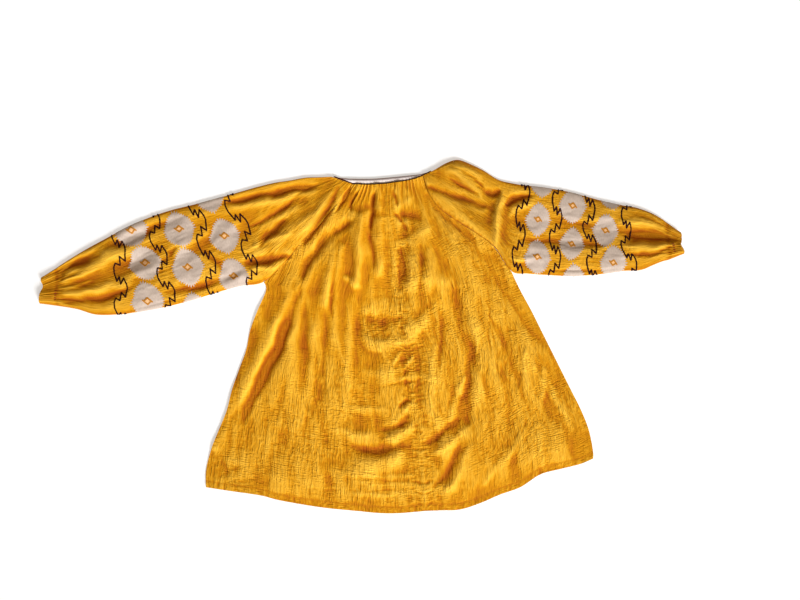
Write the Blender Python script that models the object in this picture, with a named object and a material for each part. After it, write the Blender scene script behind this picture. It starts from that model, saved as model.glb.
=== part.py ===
"""Embroidered folk blouse in crinkled cotton, laid flat with its sleeves spread.

The blouse lies on its back. X runs across it, towards the sleeve at the right of the view, Y runs from the hem
to the neck, and Z is up from the surface that it lies on. All tables are in millimetres in that frame.
Each piece of cloth that is cut and sewn is its own closed wall.
"""

import math

import bpy
import numpy as np

MM = 0.001

# Cloth and seams
CLOTH = 1.2
SEAM_GAP = 0.4
LAYER_GAP = 0.3
RESTING = CLOTH + LAYER_GAP

# Heights of the upper layer's outer face
NECK_TOP = 6.6
ARMPIT_TOP = 4.8
SIDE_TOP = 3.2
FRONT_PUFF = 3.6
CENTRE_SINK = 1.6

# Shares of a panel's or sleeve's width and length over which its heights settle at the edges
PUFF_IN = 0.3
SIDE_SETTLE = 0.3
HEM_SETTLE = 0.08
SEAM_SINK_FROM = 0.86
FOLD_CLEAR = 0.12
GATHER_CLEAR = 0.05

# Gathers
NECK_GATHERS = 12
NECK_GATHER_HEIGHT = 1.3
NECK_GATHER_REACH = 48.0
CUFF_GATHERS = 12
CUFF_GATHER_HEIGHT = 1.5
CUFF_GATHER_REACH = 125.0
RUFFLE_REACH = 1.25
RUFFLE_SCALLOPS = 5
THICKEST_UPRIGHT = 1.8

# Round of a fold's edge, as plan distance from the edge
FOLD_ROUND = 2.2

# Neck trim
PIPING_RADIUS = 1.2
PIPING_SIDES = 6
PIPING_POINTS = 44
FACING_WIDTH = 16.0
FACING_THICKNESS = 1.2
FACING_STEPS = 22

# Rows that a front shares with its sleeve along the raglan seam, as shares of that seam from the neck
RAGLAN_STEPS = (0.0, 0.035, 0.08, 0.14, 0.22, 0.33, 0.46, 0.6, 0.74, 0.87, 1.0)
SIDE_STEPS = 17
RAGLAN_SHARE = 0.36
GATHERED_ROWS = 6
GATHERED_COLUMNS = 48
PLAIN_COLUMNS = 22
SLEEVE_COLUMNS = 16
UNDER_COLUMNS = 5

# Sleeve sections from the neck to the ruffle's end. Each has a point on the sleeve's upper edge and one on its
# lower edge, which follows the raglan seam up to the armpit, and how far the upper layer stands up between them.
# Columns: upper x, upper y, lower x, lower y, puff
ARMPIT = 6
SLEEVE_LEFT = np.array([
    (-68, 351, -22, 335, 1.0),
    (-97, 350, -46, 300, 2.0),
    (-125, 349, -75, 267, 3.0),
    (-158, 343, -101, 236, 4.0),
    (-191, 338, -134, 206, 5.0),
    (-229, 329, -165, 168, 5.5),
    (-268, 318, -216, 120, 6.0),
    (-317, 304, -268, 111, 6.5),
    (-365, 291, -317, 97, 7.0),
    (-418, 278, -370, 81, 7.0),
    (-466, 262, -422, 67, 7.0),
    (-515, 241, -475, 57, 7.5),
    (-565, 214, -528, 49, 8.0),
    (-609, 190, -583, 48, 7.5),
    (-642, 170, -625, 60, 6.0),
    (-671, 151, -667, 67, 3.5),
    (-701, 131, -704, 72, 4.5),
], dtype=float)
SLEEVE_RIGHT = np.array([
    (158, 365, 134, 353, 1.0),
    (185, 381, 147, 316, 3.0),
    (211, 388, 169, 283, 5.0),
    (242, 377, 211, 252, 6.0),
    (268, 364, 249, 228, 5.5),
    (301, 344, 290, 197, 5.0),
    (339, 335, 328, 144, 5.5),
    (370, 331, 365, 138, 6.0),
    (409, 326, 407, 135, 6.5),
    (449, 319, 449, 133, 7.0),
    (488, 309, 491, 134, 7.0),
    (528, 298, 532, 138, 7.0),
    (568, 289, 572, 144, 7.5),
    (603, 283, 612, 146, 7.5),
    (634, 272, 640, 157, 6.5),
    (656, 260, 660, 165, 5.0),
    (669, 251, 675, 169, 3.5),
    (697, 230, 704, 181, 4.5),
], dtype=float)

# How far the back neckline stands above the front one where each raglan seam starts
BACK_RISE_LEFT = np.array((-4.0, 12.0))
BACK_RISE_RIGHT = np.array((2.0, 6.0))

# Edges of the two fronts. Columns: x, y
CENTRE_SEAM = ((55, 335), (55, 287), (59, 232), (64, 181), (73, 144), (81, 76), (86, 19), (106, -47),
               (110, -91), (112, -126), (117, -164), (122, -203), (128, -247), (134, -311), (140, -383))
NECK_LEFT = ((-22, 335), (0, 333), (26, 333), (55, 335))
NECK_RIGHT = ((134, 353), (117, 346), (90, 340), (68, 337), (55, 335))
SIDE_LEFT = ((-216, 120), (-211, 102), (-229, 58), (-246, 14), (-255, -30), (-271, -74), (-286, -118),
             (-297, -162), (-315, -206), (-332, -250), (-343, -294), (-343, -331))
SIDE_RIGHT = ((328, 144), (348, 102), (372, 58), (394, 14), (416, -30), (438, -74), (460, -118),
              (482, -162), (499, -206), (508, -250), (508, -268))
HEM_LEFT = ((-343, -331), (-299, -338), (-224, -349), (-180, -360), (-92, -375), (-4, -384), (40, -388),
            (84, -388), (140, -383))
HEM_RIGHT = ((508, -268), (480, -280), (436, -291), (392, -303), (348, -331), (304, -347), (260, -366),
             (216, -380), (172, -382), (140, -383))
BACK_NECK = ((-68, 351), (-26, 347), (24, 347), (84, 352), (128, 357), (158, 365))
FRONT_NECK = ((-62, 350), (-40, 342), (-22, 335.5), (0, 333.5), (26, 333), (55, 335), (68, 337), (90, 340),
              (117, 346), (134, 353), (152, 362))

# Largest folds, each along a curve through three points: ridges stand up and troughs go down.
# Columns: from x, y, through x, y, to x, y, half width, height
FOLDS = np.array([
    # Left front
    (-163, 80, -213, -34, -286, -173, 15, 4.5),
    (-136, 102, -191, -34, -268, -188, 13, -4.0),
    (-121, 80, -125, 14, -130, -118, 13, -2.5),
    (-37, 311, -82, 240, -130, 166, 14, 3.5),
    (-22, 254, -92, 200, -136, 124, 13, -4.5),
    (-37, 201, -62, 150, -80, 60, 14, 4.0),
    (-52, 190, -66, 124, -66, 40, 9, -2.5),
    (2, 285, -4, 201, -9, 100, 14, 5.5),
    (20, 325, 20, 234, 22, 140, 9, -4.0),
    (40, 290, 44, 212, 40, 124, 12, 4.0),
    (3, 62, 31, 78, 62, 92, 11, -3.5),
    (-6, 30, 18, 24, 46, 34, 14, -3.5),
    (-29, -12, 35, -20, 84, 3, 14, 4.0),
    (51, -214, 88, -208, 112, -164, 11, -4.0),
    (-37, -252, 29, -258, 106, -256, 14, -4.5),
    (-80, -296, 18, -289, 120, -266, 18, 4.5),
    (-339, -288, -300, -292, -262, -288, 14, -2.0),
    # Right front
    (72, 276, 117, 286, 176, 272, 12, 4.5),
    (100, 230, 117, 250, 146, 276, 12, -5.0),
    (88, 210, 94, 157, 86, 100, 14, -5.0),
    (112, 214, 120, 157, 116, 70, 13, 4.0),
    (174, 280, 268, 173, 398, -12, 24, -3.0),
    (90, 8, 120, 30, 154, 64, 14, 3.0),
    (198, -4, 200, -96, 172, -156, 13, 3.5),
    (238, 20, 234, -74, 208, -168, 12, -4.5),
    (264, -4, 262, -96, 246, -200, 13, 3.5),
    (139, -250, 187, -219, 231, -176, 11, -4.5),
    (150, -290, 198, -254, 240, -206, 11, 4.5),
    (165, -338, 208, -292, 236, -222, 12, -4.0),
    (403, -105, 410, -151, 450, -166, 13, -3.0),
    # Left sleeve
    (-300, 296, -176, 318, -64, 341, 11, -3.5),
    (-51, 326, -84, 264, -132, 200, 10, -3.5),
    (-202, 186, -158, 230, -104, 272, 12, 3.5),
    (-222, 200, -204, 226, -164, 260, 10, -3.5),
    (-260, 163, -213, 170, -160, 174, 9, -3.5),
    (-330, 236, -422, 180, -536, 110, 15, 3.5),
    (-462, 232, -532, 192, -640, 142, 14, -4.5),
    (-668, 84, -598, 78, -521, 104, 13, -4.0),
    (-395, 102, -323, 120, -262, 146, 12, -3.5),
    # Right sleeve
    (172, 364, 214, 362, 262, 338, 15, 4.0),
    (140, 330, 216, 305, 276, 284, 11, -4.0),
    (311, 309, 298, 267, 297, 200, 9, 5.0),
    (308, 284, 337, 304, 376, 309, 10, -4.5),
    (262, 322, 286, 316, 304, 322, 9, -3.5),
    (352, 214, 440, 210, 530, 206, 12, -3.5),
    (556, 232, 623, 222, 692, 212, 15, -4.5),
    (570, 200, 634, 196, 690, 206, 9, 3.5),
], dtype=float)
FOLD_STEPS = 10


# Curves

def ease(share):
    """Soft step from 0 to 1."""
    share = np.clip(share, 0.0, 1.0)
    return share * share * (3.0 - 2.0 * share)


def spline(points, places):
    """Smooth curve through points, read at places given as fractional row numbers."""
    points = np.asarray(points, dtype=float)
    last = len(points) - 1
    places = np.clip(np.atleast_1d(np.asarray(places, dtype=float)), 0.0, last)
    row = np.minimum(places.astype(int), last - 1)
    t = (places - row)[:, None]
    before = points[np.maximum(row - 1, 0)]
    start = points[row]
    end = points[row + 1]
    after = points[np.minimum(row + 2, last)]
    return 0.5 * (2 * start + (end - before) * t
                  + (2 * before - 5 * start + 4 * end - after) * t ** 2
                  + (3 * start - before - 3 * end + after) * t ** 3)


def along(points, shares, fine=24):
    """Points at shares of the length of the smooth curve through a few points."""
    last = len(points) - 1
    dense = spline(points, np.linspace(0, last, last * fine + 1))
    steps = np.linalg.norm(np.diff(dense, axis=0), axis=1)
    length = np.concatenate(([0.0], np.cumsum(steps)))
    at = np.asarray(shares, dtype=float) * length[-1]
    return np.column_stack([np.interp(at, length, dense[:, axis]) for axis in range(dense.shape[1])])


def fold_relief(plan):
    """Sum of the folds' heights at points of the plan."""
    total = np.zeros(len(plan))
    for row in FOLDS:
        ends = row[:6].reshape(3, 2)
        half_width, height = row[6:]
        path = spline(ends, np.linspace(0, 2, FOLD_STEPS + 1))
        nearest = np.full(len(plan), np.inf)
        share = np.zeros(len(plan))
        for step in range(FOLD_STEPS):
            start = path[step]
            run = path[step + 1] - start
            t = np.clip((plan - start) @ run / (run @ run), 0.0, 1.0)
            distance = np.linalg.norm(plan - start - t[:, None] * run, axis=1)
            closer = distance < nearest
            nearest[closer] = distance[closer]
            share[closer] = (step + t[closer]) / FOLD_STEPS
        across = np.clip(1.0 - (nearest / half_width) ** 2, 0.0, 1.0) ** 2
        taper = np.sin(math.pi * (0.06 + 0.88 * share)) ** 0.6
        total += height * across * taper
    return total


# Walls

def steepness(heights, plan):
    """How much thicker a wall is upright than square to its face, along one row of points."""
    runs = np.linalg.norm(np.gradient(plan, axis=0), axis=1)
    slope = np.gradient(heights) / np.maximum(runs, 0.5)
    return np.minimum(np.sqrt(1.0 + slope ** 2), THICKEST_UPRIGHT)


def upper_wall(plan, top, lowest=RESTING):
    """Outer and inner points of cloth that lies over another layer."""
    depth = CLOTH * steepness(top, plan)
    top = np.maximum(top, lowest + depth)
    outer = np.column_stack((plan, top))
    inner = np.column_stack((plan, top - depth))
    return outer, inner


def zip_rows(first, first_at, second, second_at):
    """Triangles between two rows of points whose counts may differ, each row with its points' places."""
    triangles = []
    i = 0
    j = 0
    while i < len(first) - 1 or j < len(second) - 1:
        step_first = j == len(second) - 1
        if not step_first and i < len(first) - 1:
            step_first = first_at[i + 1] + first_at[i] <= second_at[j + 1] + second_at[j]
        if step_first:
            triangles.append((first[i], second[j], first[i + 1]))
            i += 1
        else:
            triangles.append((first[i], second[j], second[j + 1]))
            j += 1
    return triangles


class Wall:
    """Closed wall of cloth built up from rows of outer and inner points."""

    def __init__(self):
        self.points = []
        self.faces = []
        self.rows = []

    def add_row(self, outer, inner, places, closed=False):
        first = len(self.points)
        self.points.extend(outer)
        self.points.extend(inner)
        out_row = list(range(first, first + len(outer)))
        in_row = [index + len(outer) for index in out_row]
        places = list(places)
        if closed:
            out_row.append(out_row[0])
            in_row.append(in_row[0])
            places.append(1.0)
        self.rows.append((out_row, in_row, places, closed))

    def skin(self):
        for (out_a, in_a, at_a, closed_a), (out_b, in_b, at_b, closed_b) in zip(self.rows, self.rows[1:]):
            self.faces += zip_rows(out_a, at_a, out_b, at_b)
            self.faces += [face[::-1] for face in zip_rows(in_a, at_a, in_b, at_b)]
            if closed_a and closed_b:
                continue
            self.faces.append((out_a[0], in_a[0], in_b[0], out_b[0]))
            self.faces.append((out_a[-1], out_b[-1], in_b[-1], in_a[-1]))

    def rims(self):
        out_row, in_row = self.rows[0][:2]
        for i in range(len(out_row) - 1):
            self.faces.append((out_row[i], out_row[i + 1], in_row[i + 1], in_row[i]))
        out_row, in_row = self.rows[-1][:2]
        for i in range(len(out_row) - 1):
            self.faces.append((out_row[i], in_row[i], in_row[i + 1], out_row[i + 1]))


# Blender objects

def material(name, colour, roughness):
    finish = bpy.data.materials.new(name)
    finish.use_nodes = True
    shader = finish.node_tree.nodes["Principled BSDF"]
    shader.inputs["Base Color"].default_value = (*colour, 1.0)
    shader.inputs["Roughness"].default_value = roughness
    shader.inputs["Metallic"].default_value = 0.0
    finish.diffuse_color = (*colour, 1.0)
    return finish


def make_object(name, points, faces, finish):
    mesh = bpy.data.meshes.new(name)
    mesh.from_pydata([tuple(np.asarray(point, dtype=float) * MM) for point in points], [], faces)
    mesh.validate()
    mesh.materials.append(finish)
    mesh.shade_smooth()
    mesh.set_sharp_from_angle(angle=math.radians(50))
    made = bpy.data.objects.new(name, mesh)
    bpy.context.scene.collection.objects.link(made)
    return made


def outward(made):
    """Turns the faces of a closed wall out, by the sign of the volume that they enclose."""
    mesh = made.data
    volume = 0.0
    mesh.calc_loop_triangles()
    for triangle in mesh.loop_triangles:
        a, b, c = (mesh.vertices[index].co for index in triangle.vertices)
        volume += a.dot(b.cross(c))
    if volume < 0:
        mesh.flip_normals()


# Fronts

def seam_height(share):
    """Height of the upper layer along the raglan seam, from the neck to the armpit."""
    return NECK_TOP + (ARMPIT_TOP - NECK_TOP) * ease(share)


def front_edges(sleeve, side, centre):
    """Outer and centre edge points of a front, row by row, with each row's share of the way down."""
    raglan = spline(sleeve[:, 2:4], np.array(RAGLAN_STEPS) * ARMPIT)
    lower = np.linspace(0, 1, SIDE_STEPS + 1)[1:]
    outer = np.vstack((raglan, along(side, lower)))
    shares = np.concatenate((np.array(RAGLAN_STEPS) * RAGLAN_SHARE,
                             RAGLAN_SHARE + (1 - RAGLAN_SHARE) * lower))
    return outer, along(centre, shares), shares


def front_plan(u, v, outer, centre, neck, hem):
    """Points of one row of a front, blended from its four edges."""
    top = along(neck, u)
    low = along(hem, u)
    across = outer + (centre - outer) * u[:, None]
    straight_top = top[0] + (top[-1] - top[0]) * u[:, None]
    straight_low = low[0] + (low[-1] - low[0]) * u[:, None]
    return across + (1 - v) * (top - straight_top) + v * (low - straight_low)


def front_top(u, v, plan, neck_distance):
    """Height of a front's outer face along one row."""
    share = v / RAGLAN_SHARE
    edge = seam_height(share)
    if share > 1:
        edge += (SIDE_TOP - ARMPIT_TOP) * ease((share - 1) / SIDE_SETTLE)
    inside = ease(u / PUFF_IN) * ease((1 - v) / HEM_SETTLE)
    sink = CENTRE_SINK * ease((u - SEAM_SINK_FROM) / (1 - SEAM_SINK_FROM)) * ease(v / HEM_SETTLE)
    top = edge + (FRONT_PUFF - sink) * inside
    gather = NECK_GATHER_HEIGHT * math.exp(-(neck_distance / NECK_GATHER_REACH) ** 2)
    wave = np.cos(2 * math.pi * (NECK_GATHERS * u + 0.35 * np.sin(5.0 * u + 1.0)))
    edge_clear = ease(u / GATHER_CLEAR) * ease((1 - u) / GATHER_CLEAR)
    return top + gather * wave * edge_clear + fold_relief(plan) * ease(2 * (1 - v) / HEM_SETTLE)


def make_front(name, sleeve, side, neck, hem, finish):
    outer, centre, shares = front_edges(sleeve, side, CENTRE_SEAM)
    wall = Wall()
    for row, v in enumerate(shares):
        columns = GATHERED_COLUMNS if row <= GATHERED_ROWS else PLAIN_COLUMNS
        u = np.linspace(0, 1, columns + 1)
        plan = front_plan(u, v, outer[row], centre[row], neck, hem)
        plan[0] += (plan[1] - plan[0]) * SEAM_GAP / np.linalg.norm(plan[1] - plan[0])
        plan[-1] += (plan[-2] - plan[-1]) * SEAM_GAP / 2 / np.linalg.norm(plan[-2] - plan[-1])
        neck_distance = np.linalg.norm(centre[row] - centre[0])
        top = front_top(u, v, plan, neck_distance)
        lowest = RESTING + (FACING_THICKNESS + LAYER_GAP) * ease(1 - neck_distance / (2 * FACING_WIDTH))
        wall.add_row(*upper_wall(plan, top, lowest), u)
    wall.skin()
    wall.rims()
    made = make_object(name, wall.points, wall.faces, finish)
    outward(made)


# Sleeves

def sleeve_rows(sleeve):
    """Section numbers of a sleeve's rows, and the row where the gathered cuff starts."""
    elastic = len(sleeve) - 2
    raglan = np.array(RAGLAN_STEPS) * ARMPIT
    arm = np.linspace(ARMPIT, elastic - 2, 2 * (elastic - 2 - ARMPIT) + 1)[1:]
    gathered = elastic - 2 + np.array((0.5, 0.95, 1.35, 1.7, 2.0))
    ruffle = elastic + np.array((0.3, 0.65, 1.0))
    return np.concatenate((raglan, arm, gathered, ruffle)), len(raglan) + len(arm) - 1


def cuff_gather(section, elastic, length):
    """Height of the gathers at a section, highest at the elastic and in the ruffle."""
    if section > elastic:
        return CUFF_GATHER_HEIGHT * (1 + 0.5 * (section - elastic))
    return CUFF_GATHER_HEIGHT * math.exp(-(length / CUFF_GATHER_REACH) ** 2)


def sleeve_section(sleeve, section, back_rise, top_columns):
    """One row of a sleeve: outer points, inner points, their places round it, and whether it closes."""
    upper_x, upper_y, lower_x, lower_y, puff = spline(sleeve, section)[0]
    upper = np.array((upper_x, upper_y))
    lower = np.array((lower_x, lower_y))
    elastic = len(sleeve) - 2
    closed = section >= ARMPIT - 1e-9
    lower_back = lower + back_rise * max(0.0, 1 - section / ARMPIT)
    width = np.linalg.norm(upper - lower)
    round_share = FOLD_ROUND / width
    outward_way = (upper - lower) / width
    low_start = round_share if closed else 0.0

    # Lower layer, flat on the surface, from the lower edge to the upper edge
    s = np.linspace(low_start, 1 - round_share, UNDER_COLUMNS + 1)
    start = lower if closed else lower_back
    flat = start + (upper - start) * s[:, None]
    low_outer = np.column_stack((flat, np.zeros(len(s))))
    low_inner = np.column_stack((flat, np.full(len(s), CLOTH)))
    low_places = 0.02 + 0.46 * s if closed else 0.48 * s

    # Upper layer, back to the lower edge
    s = np.linspace(1 - round_share, low_start, top_columns + 1)
    plan = lower + (upper - lower) * s[:, None]
    share = min(section / ARMPIT, 1.0)
    edge = seam_height(share)
    crown = np.clip(4 * s * (1 - s), 0, 1) ** 0.6
    top = edge + puff * crown
    inside = ease((1 - s) / FOLD_CLEAR)
    if closed:
        inside = inside * ease(s / FOLD_CLEAR)
    top = top + fold_relief(plan) * inside
    length = np.linalg.norm(spline(sleeve[:, :2], section)[0] - sleeve[elastic, :2])
    wave = np.cos(2 * math.pi * (CUFF_GATHERS * s + 0.3 * np.sin(7.0 * s)))
    edge_clear = ease(s / GATHER_CLEAR) * ease((1 - s) / GATHER_CLEAR)
    top = top + cuff_gather(section, elastic, length) * wave * edge_clear
    lowest = RESTING + (FACING_THICKNESS + LAYER_GAP) * ease(1 - section / 1.2)
    top_outer, top_inner = upper_wall(plan, top, lowest)
    top_places = 0.98 - 0.46 * s if closed else 1.0 - 0.48 * s

    # Rounded fold at the upper edge, and at the lower edge where the sleeve is a tube
    fold_height = (top_outer[0, 2]) / 2
    fold_outer = np.array([(*upper, fold_height)])
    fold_inner = np.array([(*(upper - outward_way * CLOTH), fold_height)])
    outer = [low_outer, fold_outer, top_outer]
    inner = [low_inner, fold_inner, top_inner]
    places = [low_places, [0.5], top_places]
    if closed:
        seam_middle = top_outer[-1, 2] / 2
        outer.insert(0, np.array([(*lower, seam_middle)]))
        inner.insert(0, np.array([(*(lower + outward_way * CLOTH), seam_middle)]))
        places.insert(0, [0.0])
    return np.vstack(outer), np.vstack(inner), np.concatenate(places), closed


def make_sleeve(name, sleeve, back_rise, finish):
    sections, gathered_from = sleeve_rows(sleeve)
    wall = Wall()
    for row, section in enumerate(sections):
        top_columns = 4 * CUFF_GATHERS if row > gathered_from else SLEEVE_COLUMNS
        outer, inner, places, closed = sleeve_section(sleeve, section, back_rise, top_columns)
        wall.add_row(outer, inner, places, closed)
    ripple_ruffle(wall)
    wall.skin()
    wall.rims()
    made = make_object(name, wall.points, wall.faces, finish)
    outward(made)


def ripple_ruffle(wall):
    """Moves the ruffle's end in and out along the sleeve, in shallow scallops."""
    last_out, last_in = wall.rows[-1][:2]
    before_out = wall.rows[-2][0]
    count = len(last_out) - 1
    for i in range(count):
        way = np.array(wall.points[last_out[i]]) - np.array(wall.points[before_out[i]])
        way[2] = 0.0
        way /= np.linalg.norm(way)
        shift = way * RUFFLE_REACH * math.cos(2 * math.pi * RUFFLE_SCALLOPS * i / count)
        wall.points[last_out[i]] = wall.points[last_out[i]] + shift
        wall.points[last_in[i]] = wall.points[last_in[i]] + shift


# Back

def back_raglan(sleeve, back_rise):
    """Raglan seam of the back, from the neck to the armpit."""
    steps = np.array(RAGLAN_STEPS)
    seam = spline(sleeve[:, 2:4], steps * ARMPIT)
    return seam + back_rise * (1 - steps)[:, None]


def inset_towards(points, middle_x, distance):
    """Points moved across towards a line down the middle of the back."""
    moved = points.copy()
    moved[:, 0] += np.sign(middle_x - points[:, 0]) * distance
    return moved


def make_back(finish):
    middle = np.mean([point[0] for point in CENTRE_SEAM])
    left = inset_towards(back_raglan(SLEEVE_LEFT, BACK_RISE_LEFT), middle, SEAM_GAP * 1.4)
    right = inset_towards(back_raglan(SLEEVE_RIGHT, BACK_RISE_RIGHT), middle, SEAM_GAP * 1.4)
    down = np.linspace(0, 1, SIDE_STEPS + 1)[1:]
    side_left = along(SIDE_LEFT, down)
    side_right = along(SIDE_RIGHT, down)
    across = np.linspace(0, 1, PLAIN_COLUMNS + 1)[1:]
    hem_left = along(HEM_LEFT, across)
    hem_right = along(HEM_RIGHT, across)[:-1]
    neck = along([left[0], *BACK_NECK[2:5], right[0]], np.linspace(0, 1, 13))[1:-1]
    outline = np.vstack((left, side_left, hem_left, hem_right[::-1], side_right[::-1], right[::-1], neck[::-1]))
    count = len(outline)
    points = [(*point, 0.0) for point in outline] + [(*point, CLOTH) for point in outline]
    faces = [tuple(range(count)), tuple(range(2 * count - 1, count - 1, -1))]
    for i in range(count):
        after = (i + 1) % count
        faces.append((i, i + count, after + count, after))
    made = make_object("back", points, faces, finish)
    outward(made)


# Neck trim

def make_facing(finish):
    """Pale tape inside the back neck, which shows above the front neckline."""
    shares = np.linspace(0.05, 0.955, FACING_STEPS + 1)
    edge = along(BACK_NECK, shares)
    wall = Wall()
    for x, y in edge:
        upper = np.array([(x, y - 0.6, RESTING + FACING_THICKNESS),
                          (x, y - FACING_WIDTH, RESTING + FACING_THICKNESS)])
        lower = upper - (0, 0, FACING_THICKNESS)
        wall.add_row(upper, lower, (0.0, 1.0))
    wall.skin()
    wall.rims()
    outward(make_object("neck_facing", wall.points, wall.faces, finish))


def make_piping(finish):
    """Thin dark piping along the front neckline and over the sleeves' gathered tops."""
    shares = np.linspace(0, 1, PIPING_POINTS + 1)
    path = along(FRONT_NECK, shares)
    points = []
    faces = []
    ways = np.gradient(path, axis=0)
    for (x, y), way in zip(path, ways):
        square = np.array((-way[1], way[0])) / np.linalg.norm(way)
        for side in range(PIPING_SIDES):
            angle = 2 * math.pi * side / PIPING_SIDES
            reach = PIPING_RADIUS + 0.5 + PIPING_RADIUS * math.cos(angle)
            height = NECK_TOP - CLOTH + PIPING_RADIUS * math.sin(angle)
            points.append((x + square[0] * reach, y + square[1] * reach, height))
    for ring in range(PIPING_POINTS):
        for side in range(PIPING_SIDES):
            a = ring * PIPING_SIDES + side
            b = ring * PIPING_SIDES + (side + 1) % PIPING_SIDES
            faces.append((a, b, b + PIPING_SIDES, a + PIPING_SIDES))
    faces.append(tuple(range(PIPING_SIDES))[::-1])
    faces.append(tuple(range(PIPING_POINTS * PIPING_SIDES, (PIPING_POINTS + 1) * PIPING_SIDES)))
    outward(make_object("neck_piping", points, faces, finish))


def build():
    for old in list(bpy.data.objects):
        bpy.data.objects.remove(old)
    mustard = (0.76, 0.37, 0.035)
    make_front("front_left", SLEEVE_LEFT, SIDE_LEFT, NECK_LEFT, HEM_LEFT, material("front_left", mustard, 0.85))
    make_front("front_right", SLEEVE_RIGHT, SIDE_RIGHT, NECK_RIGHT, HEM_RIGHT,
               material("front_right", mustard, 0.85))
    make_sleeve("sleeve_left", SLEEVE_LEFT, BACK_RISE_LEFT, material("sleeve_left", mustard, 0.85))
    make_sleeve("sleeve_right", SLEEVE_RIGHT, BACK_RISE_RIGHT, material("sleeve_right", mustard, 0.85))
    make_back(material("back", (0.7, 0.33, 0.03), 0.85))
    make_facing(material("neck_facing", (0.62, 0.55, 0.48), 0.9))
    make_piping(material("neck_piping", (0.03, 0.008, 0.012), 0.7))


build()
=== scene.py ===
"""Looks of an embroidered folk blouse in crinkled cotton, laid flat on a pale floor.

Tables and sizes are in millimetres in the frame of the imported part: X across the blouse, Y from the hem to
the neck, Z up from the floor. Every mesh is worked out in millimetres and becomes metres when its object is
made. Only the patterns of the finishes are sized in metres.
"""

import math

import bmesh
import bpy
import numpy as np
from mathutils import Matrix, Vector
from mathutils.geometry import delaunay_2d_cdt


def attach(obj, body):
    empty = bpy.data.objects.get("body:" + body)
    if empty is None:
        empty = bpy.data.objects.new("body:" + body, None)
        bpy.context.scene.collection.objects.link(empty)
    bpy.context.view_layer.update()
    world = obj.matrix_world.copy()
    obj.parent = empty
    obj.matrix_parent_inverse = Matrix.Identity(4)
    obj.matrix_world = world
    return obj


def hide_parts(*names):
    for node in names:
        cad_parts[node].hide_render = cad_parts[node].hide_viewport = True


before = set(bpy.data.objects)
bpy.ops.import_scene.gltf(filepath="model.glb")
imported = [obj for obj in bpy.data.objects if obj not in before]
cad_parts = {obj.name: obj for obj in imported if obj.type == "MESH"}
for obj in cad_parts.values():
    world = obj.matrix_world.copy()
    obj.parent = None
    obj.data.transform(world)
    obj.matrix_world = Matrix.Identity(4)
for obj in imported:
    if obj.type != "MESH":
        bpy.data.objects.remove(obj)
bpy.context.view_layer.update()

MM = 0.001
BODY = "root"

# Cloth and layers
CLOTH = 0.8
LEFT_CLOTH_WIDTH = 500.0
RIGHT_CLOTH_WIDTH = 420.0
SEAM_GAP = 0.24
RESTING = 1.5
FACING_WIDTH = 16.0
FACING_ROOM = 1.5
FACING_SECTIONS = 1.2

# Heights of the upper layer's outer face, and the shares over which they settle at the edges
NECK_TOP = 6.6
ARMPIT_TOP = 4.8
SIDE_TOP = 3.2
FRONT_PUFF = 4.6
SLEEVE_PUFF = 1.7
CROWN = 0.5
CROWN_DIP = 0.75
CROWN_DIP_AT = 0.58
CROWN_DIP_WIDTH = 0.22
CENTRE_SINK = 0.9
PUFF_IN = 0.3
SIDE_SETTLE = 0.3
HEM_SETTLE = 0.08
SEAM_SINK_FROM = 0.86
FOLD_CLEAR = 0.12
FOLD_ROUND = 2.2
TUBE_START = 0.6
NECK_CALM = 0.4
NECK_CALM_REACH = 26.0

# Gathers. Columns: spacing along the edge, length of a gather, reach off the edge, height
NECK_GATHERS = ((15.0, 110.0, 70.0, 4.0), (7.5, 34.0, 30.0, 2.3))
SHOULDER_GATHERS = ((12.0, 70.0, 50.0, 3.4), (6.0, 34.0, 24.0, 1.6))
CUFF_GATHERS = ((24.0, 110.0, 110.0, 4.4), (9.0, 60.0, 60.0, 3.2), (4.5, 26.0, 22.0, 1.2))
GATHER_SWAY = 0.85
GATHER_SWAY_CELL = 1.8
GATHER_STRENGTH = 0.7
GATHER_UNEVEN = 0.8
GATHER_UNEVEN_CELL = 3.4
NECK_FADE_OUTER = 0.03
NECK_FADE_CENTRE = 0.008
SLEEVE_FADE = 0.05
ELASTIC_SINK = 1.0
ELASTIC_WIDTH = 4.5
RUFFLE_REACH = 2.6
RUFFLE_NOTCH_WIDTH = 0.16
RUFFLE_NOTCH_LEFT = 0.64
RUFFLE_NOTCH_RIGHT = 0.4

# Grids of points on the cloth. Each count is odd, so that the inner face can take every second point
FRONT_RAGLAN_ROWS = 121
FRONT_SIDE_ROWS = 215
LEFT_COLUMNS = 229
RIGHT_COLUMNS = 189
RAGLAN_SHARE = 0.36
SLEEVE_ROWS = 331
SLEEVE_COLUMNS = 117
UNDER_COLUMNS = 13
FOLD_COLUMNS = 5

# Sleeve sections from the neck to the ruffle's end. Row 6 is at the armpit and the last but one is at the
# elastic.
# Columns: upper x, upper y, lower x, lower y, puff
ARMPIT = 6
SLEEVE_LEFT = np.array([
    (-68, 351, -22, 335, 1.0),
    (-97, 350, -46, 300, 2.0),
    (-125, 349, -75, 267, 3.0),
    (-158, 343, -101, 236, 4.0),
    (-191, 338, -134, 206, 5.0),
    (-229, 329, -165, 168, 5.5),
    (-268, 318, -216, 120, 6.0),
    (-317, 304, -268, 111, 6.5),
    (-365, 291, -317, 97, 7.0),
    (-418, 278, -370, 81, 7.0),
    (-466, 262, -422, 67, 7.0),
    (-515, 241, -475, 57, 7.5),
    (-565, 214, -528, 49, 8.0),
    (-609, 190, -583, 48, 7.5),
    (-642, 170, -625, 60, 6.0),
    (-671, 151, -667, 67, 3.5),
    (-701, 131, -704, 72, 4.5),
], dtype=float)
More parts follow.
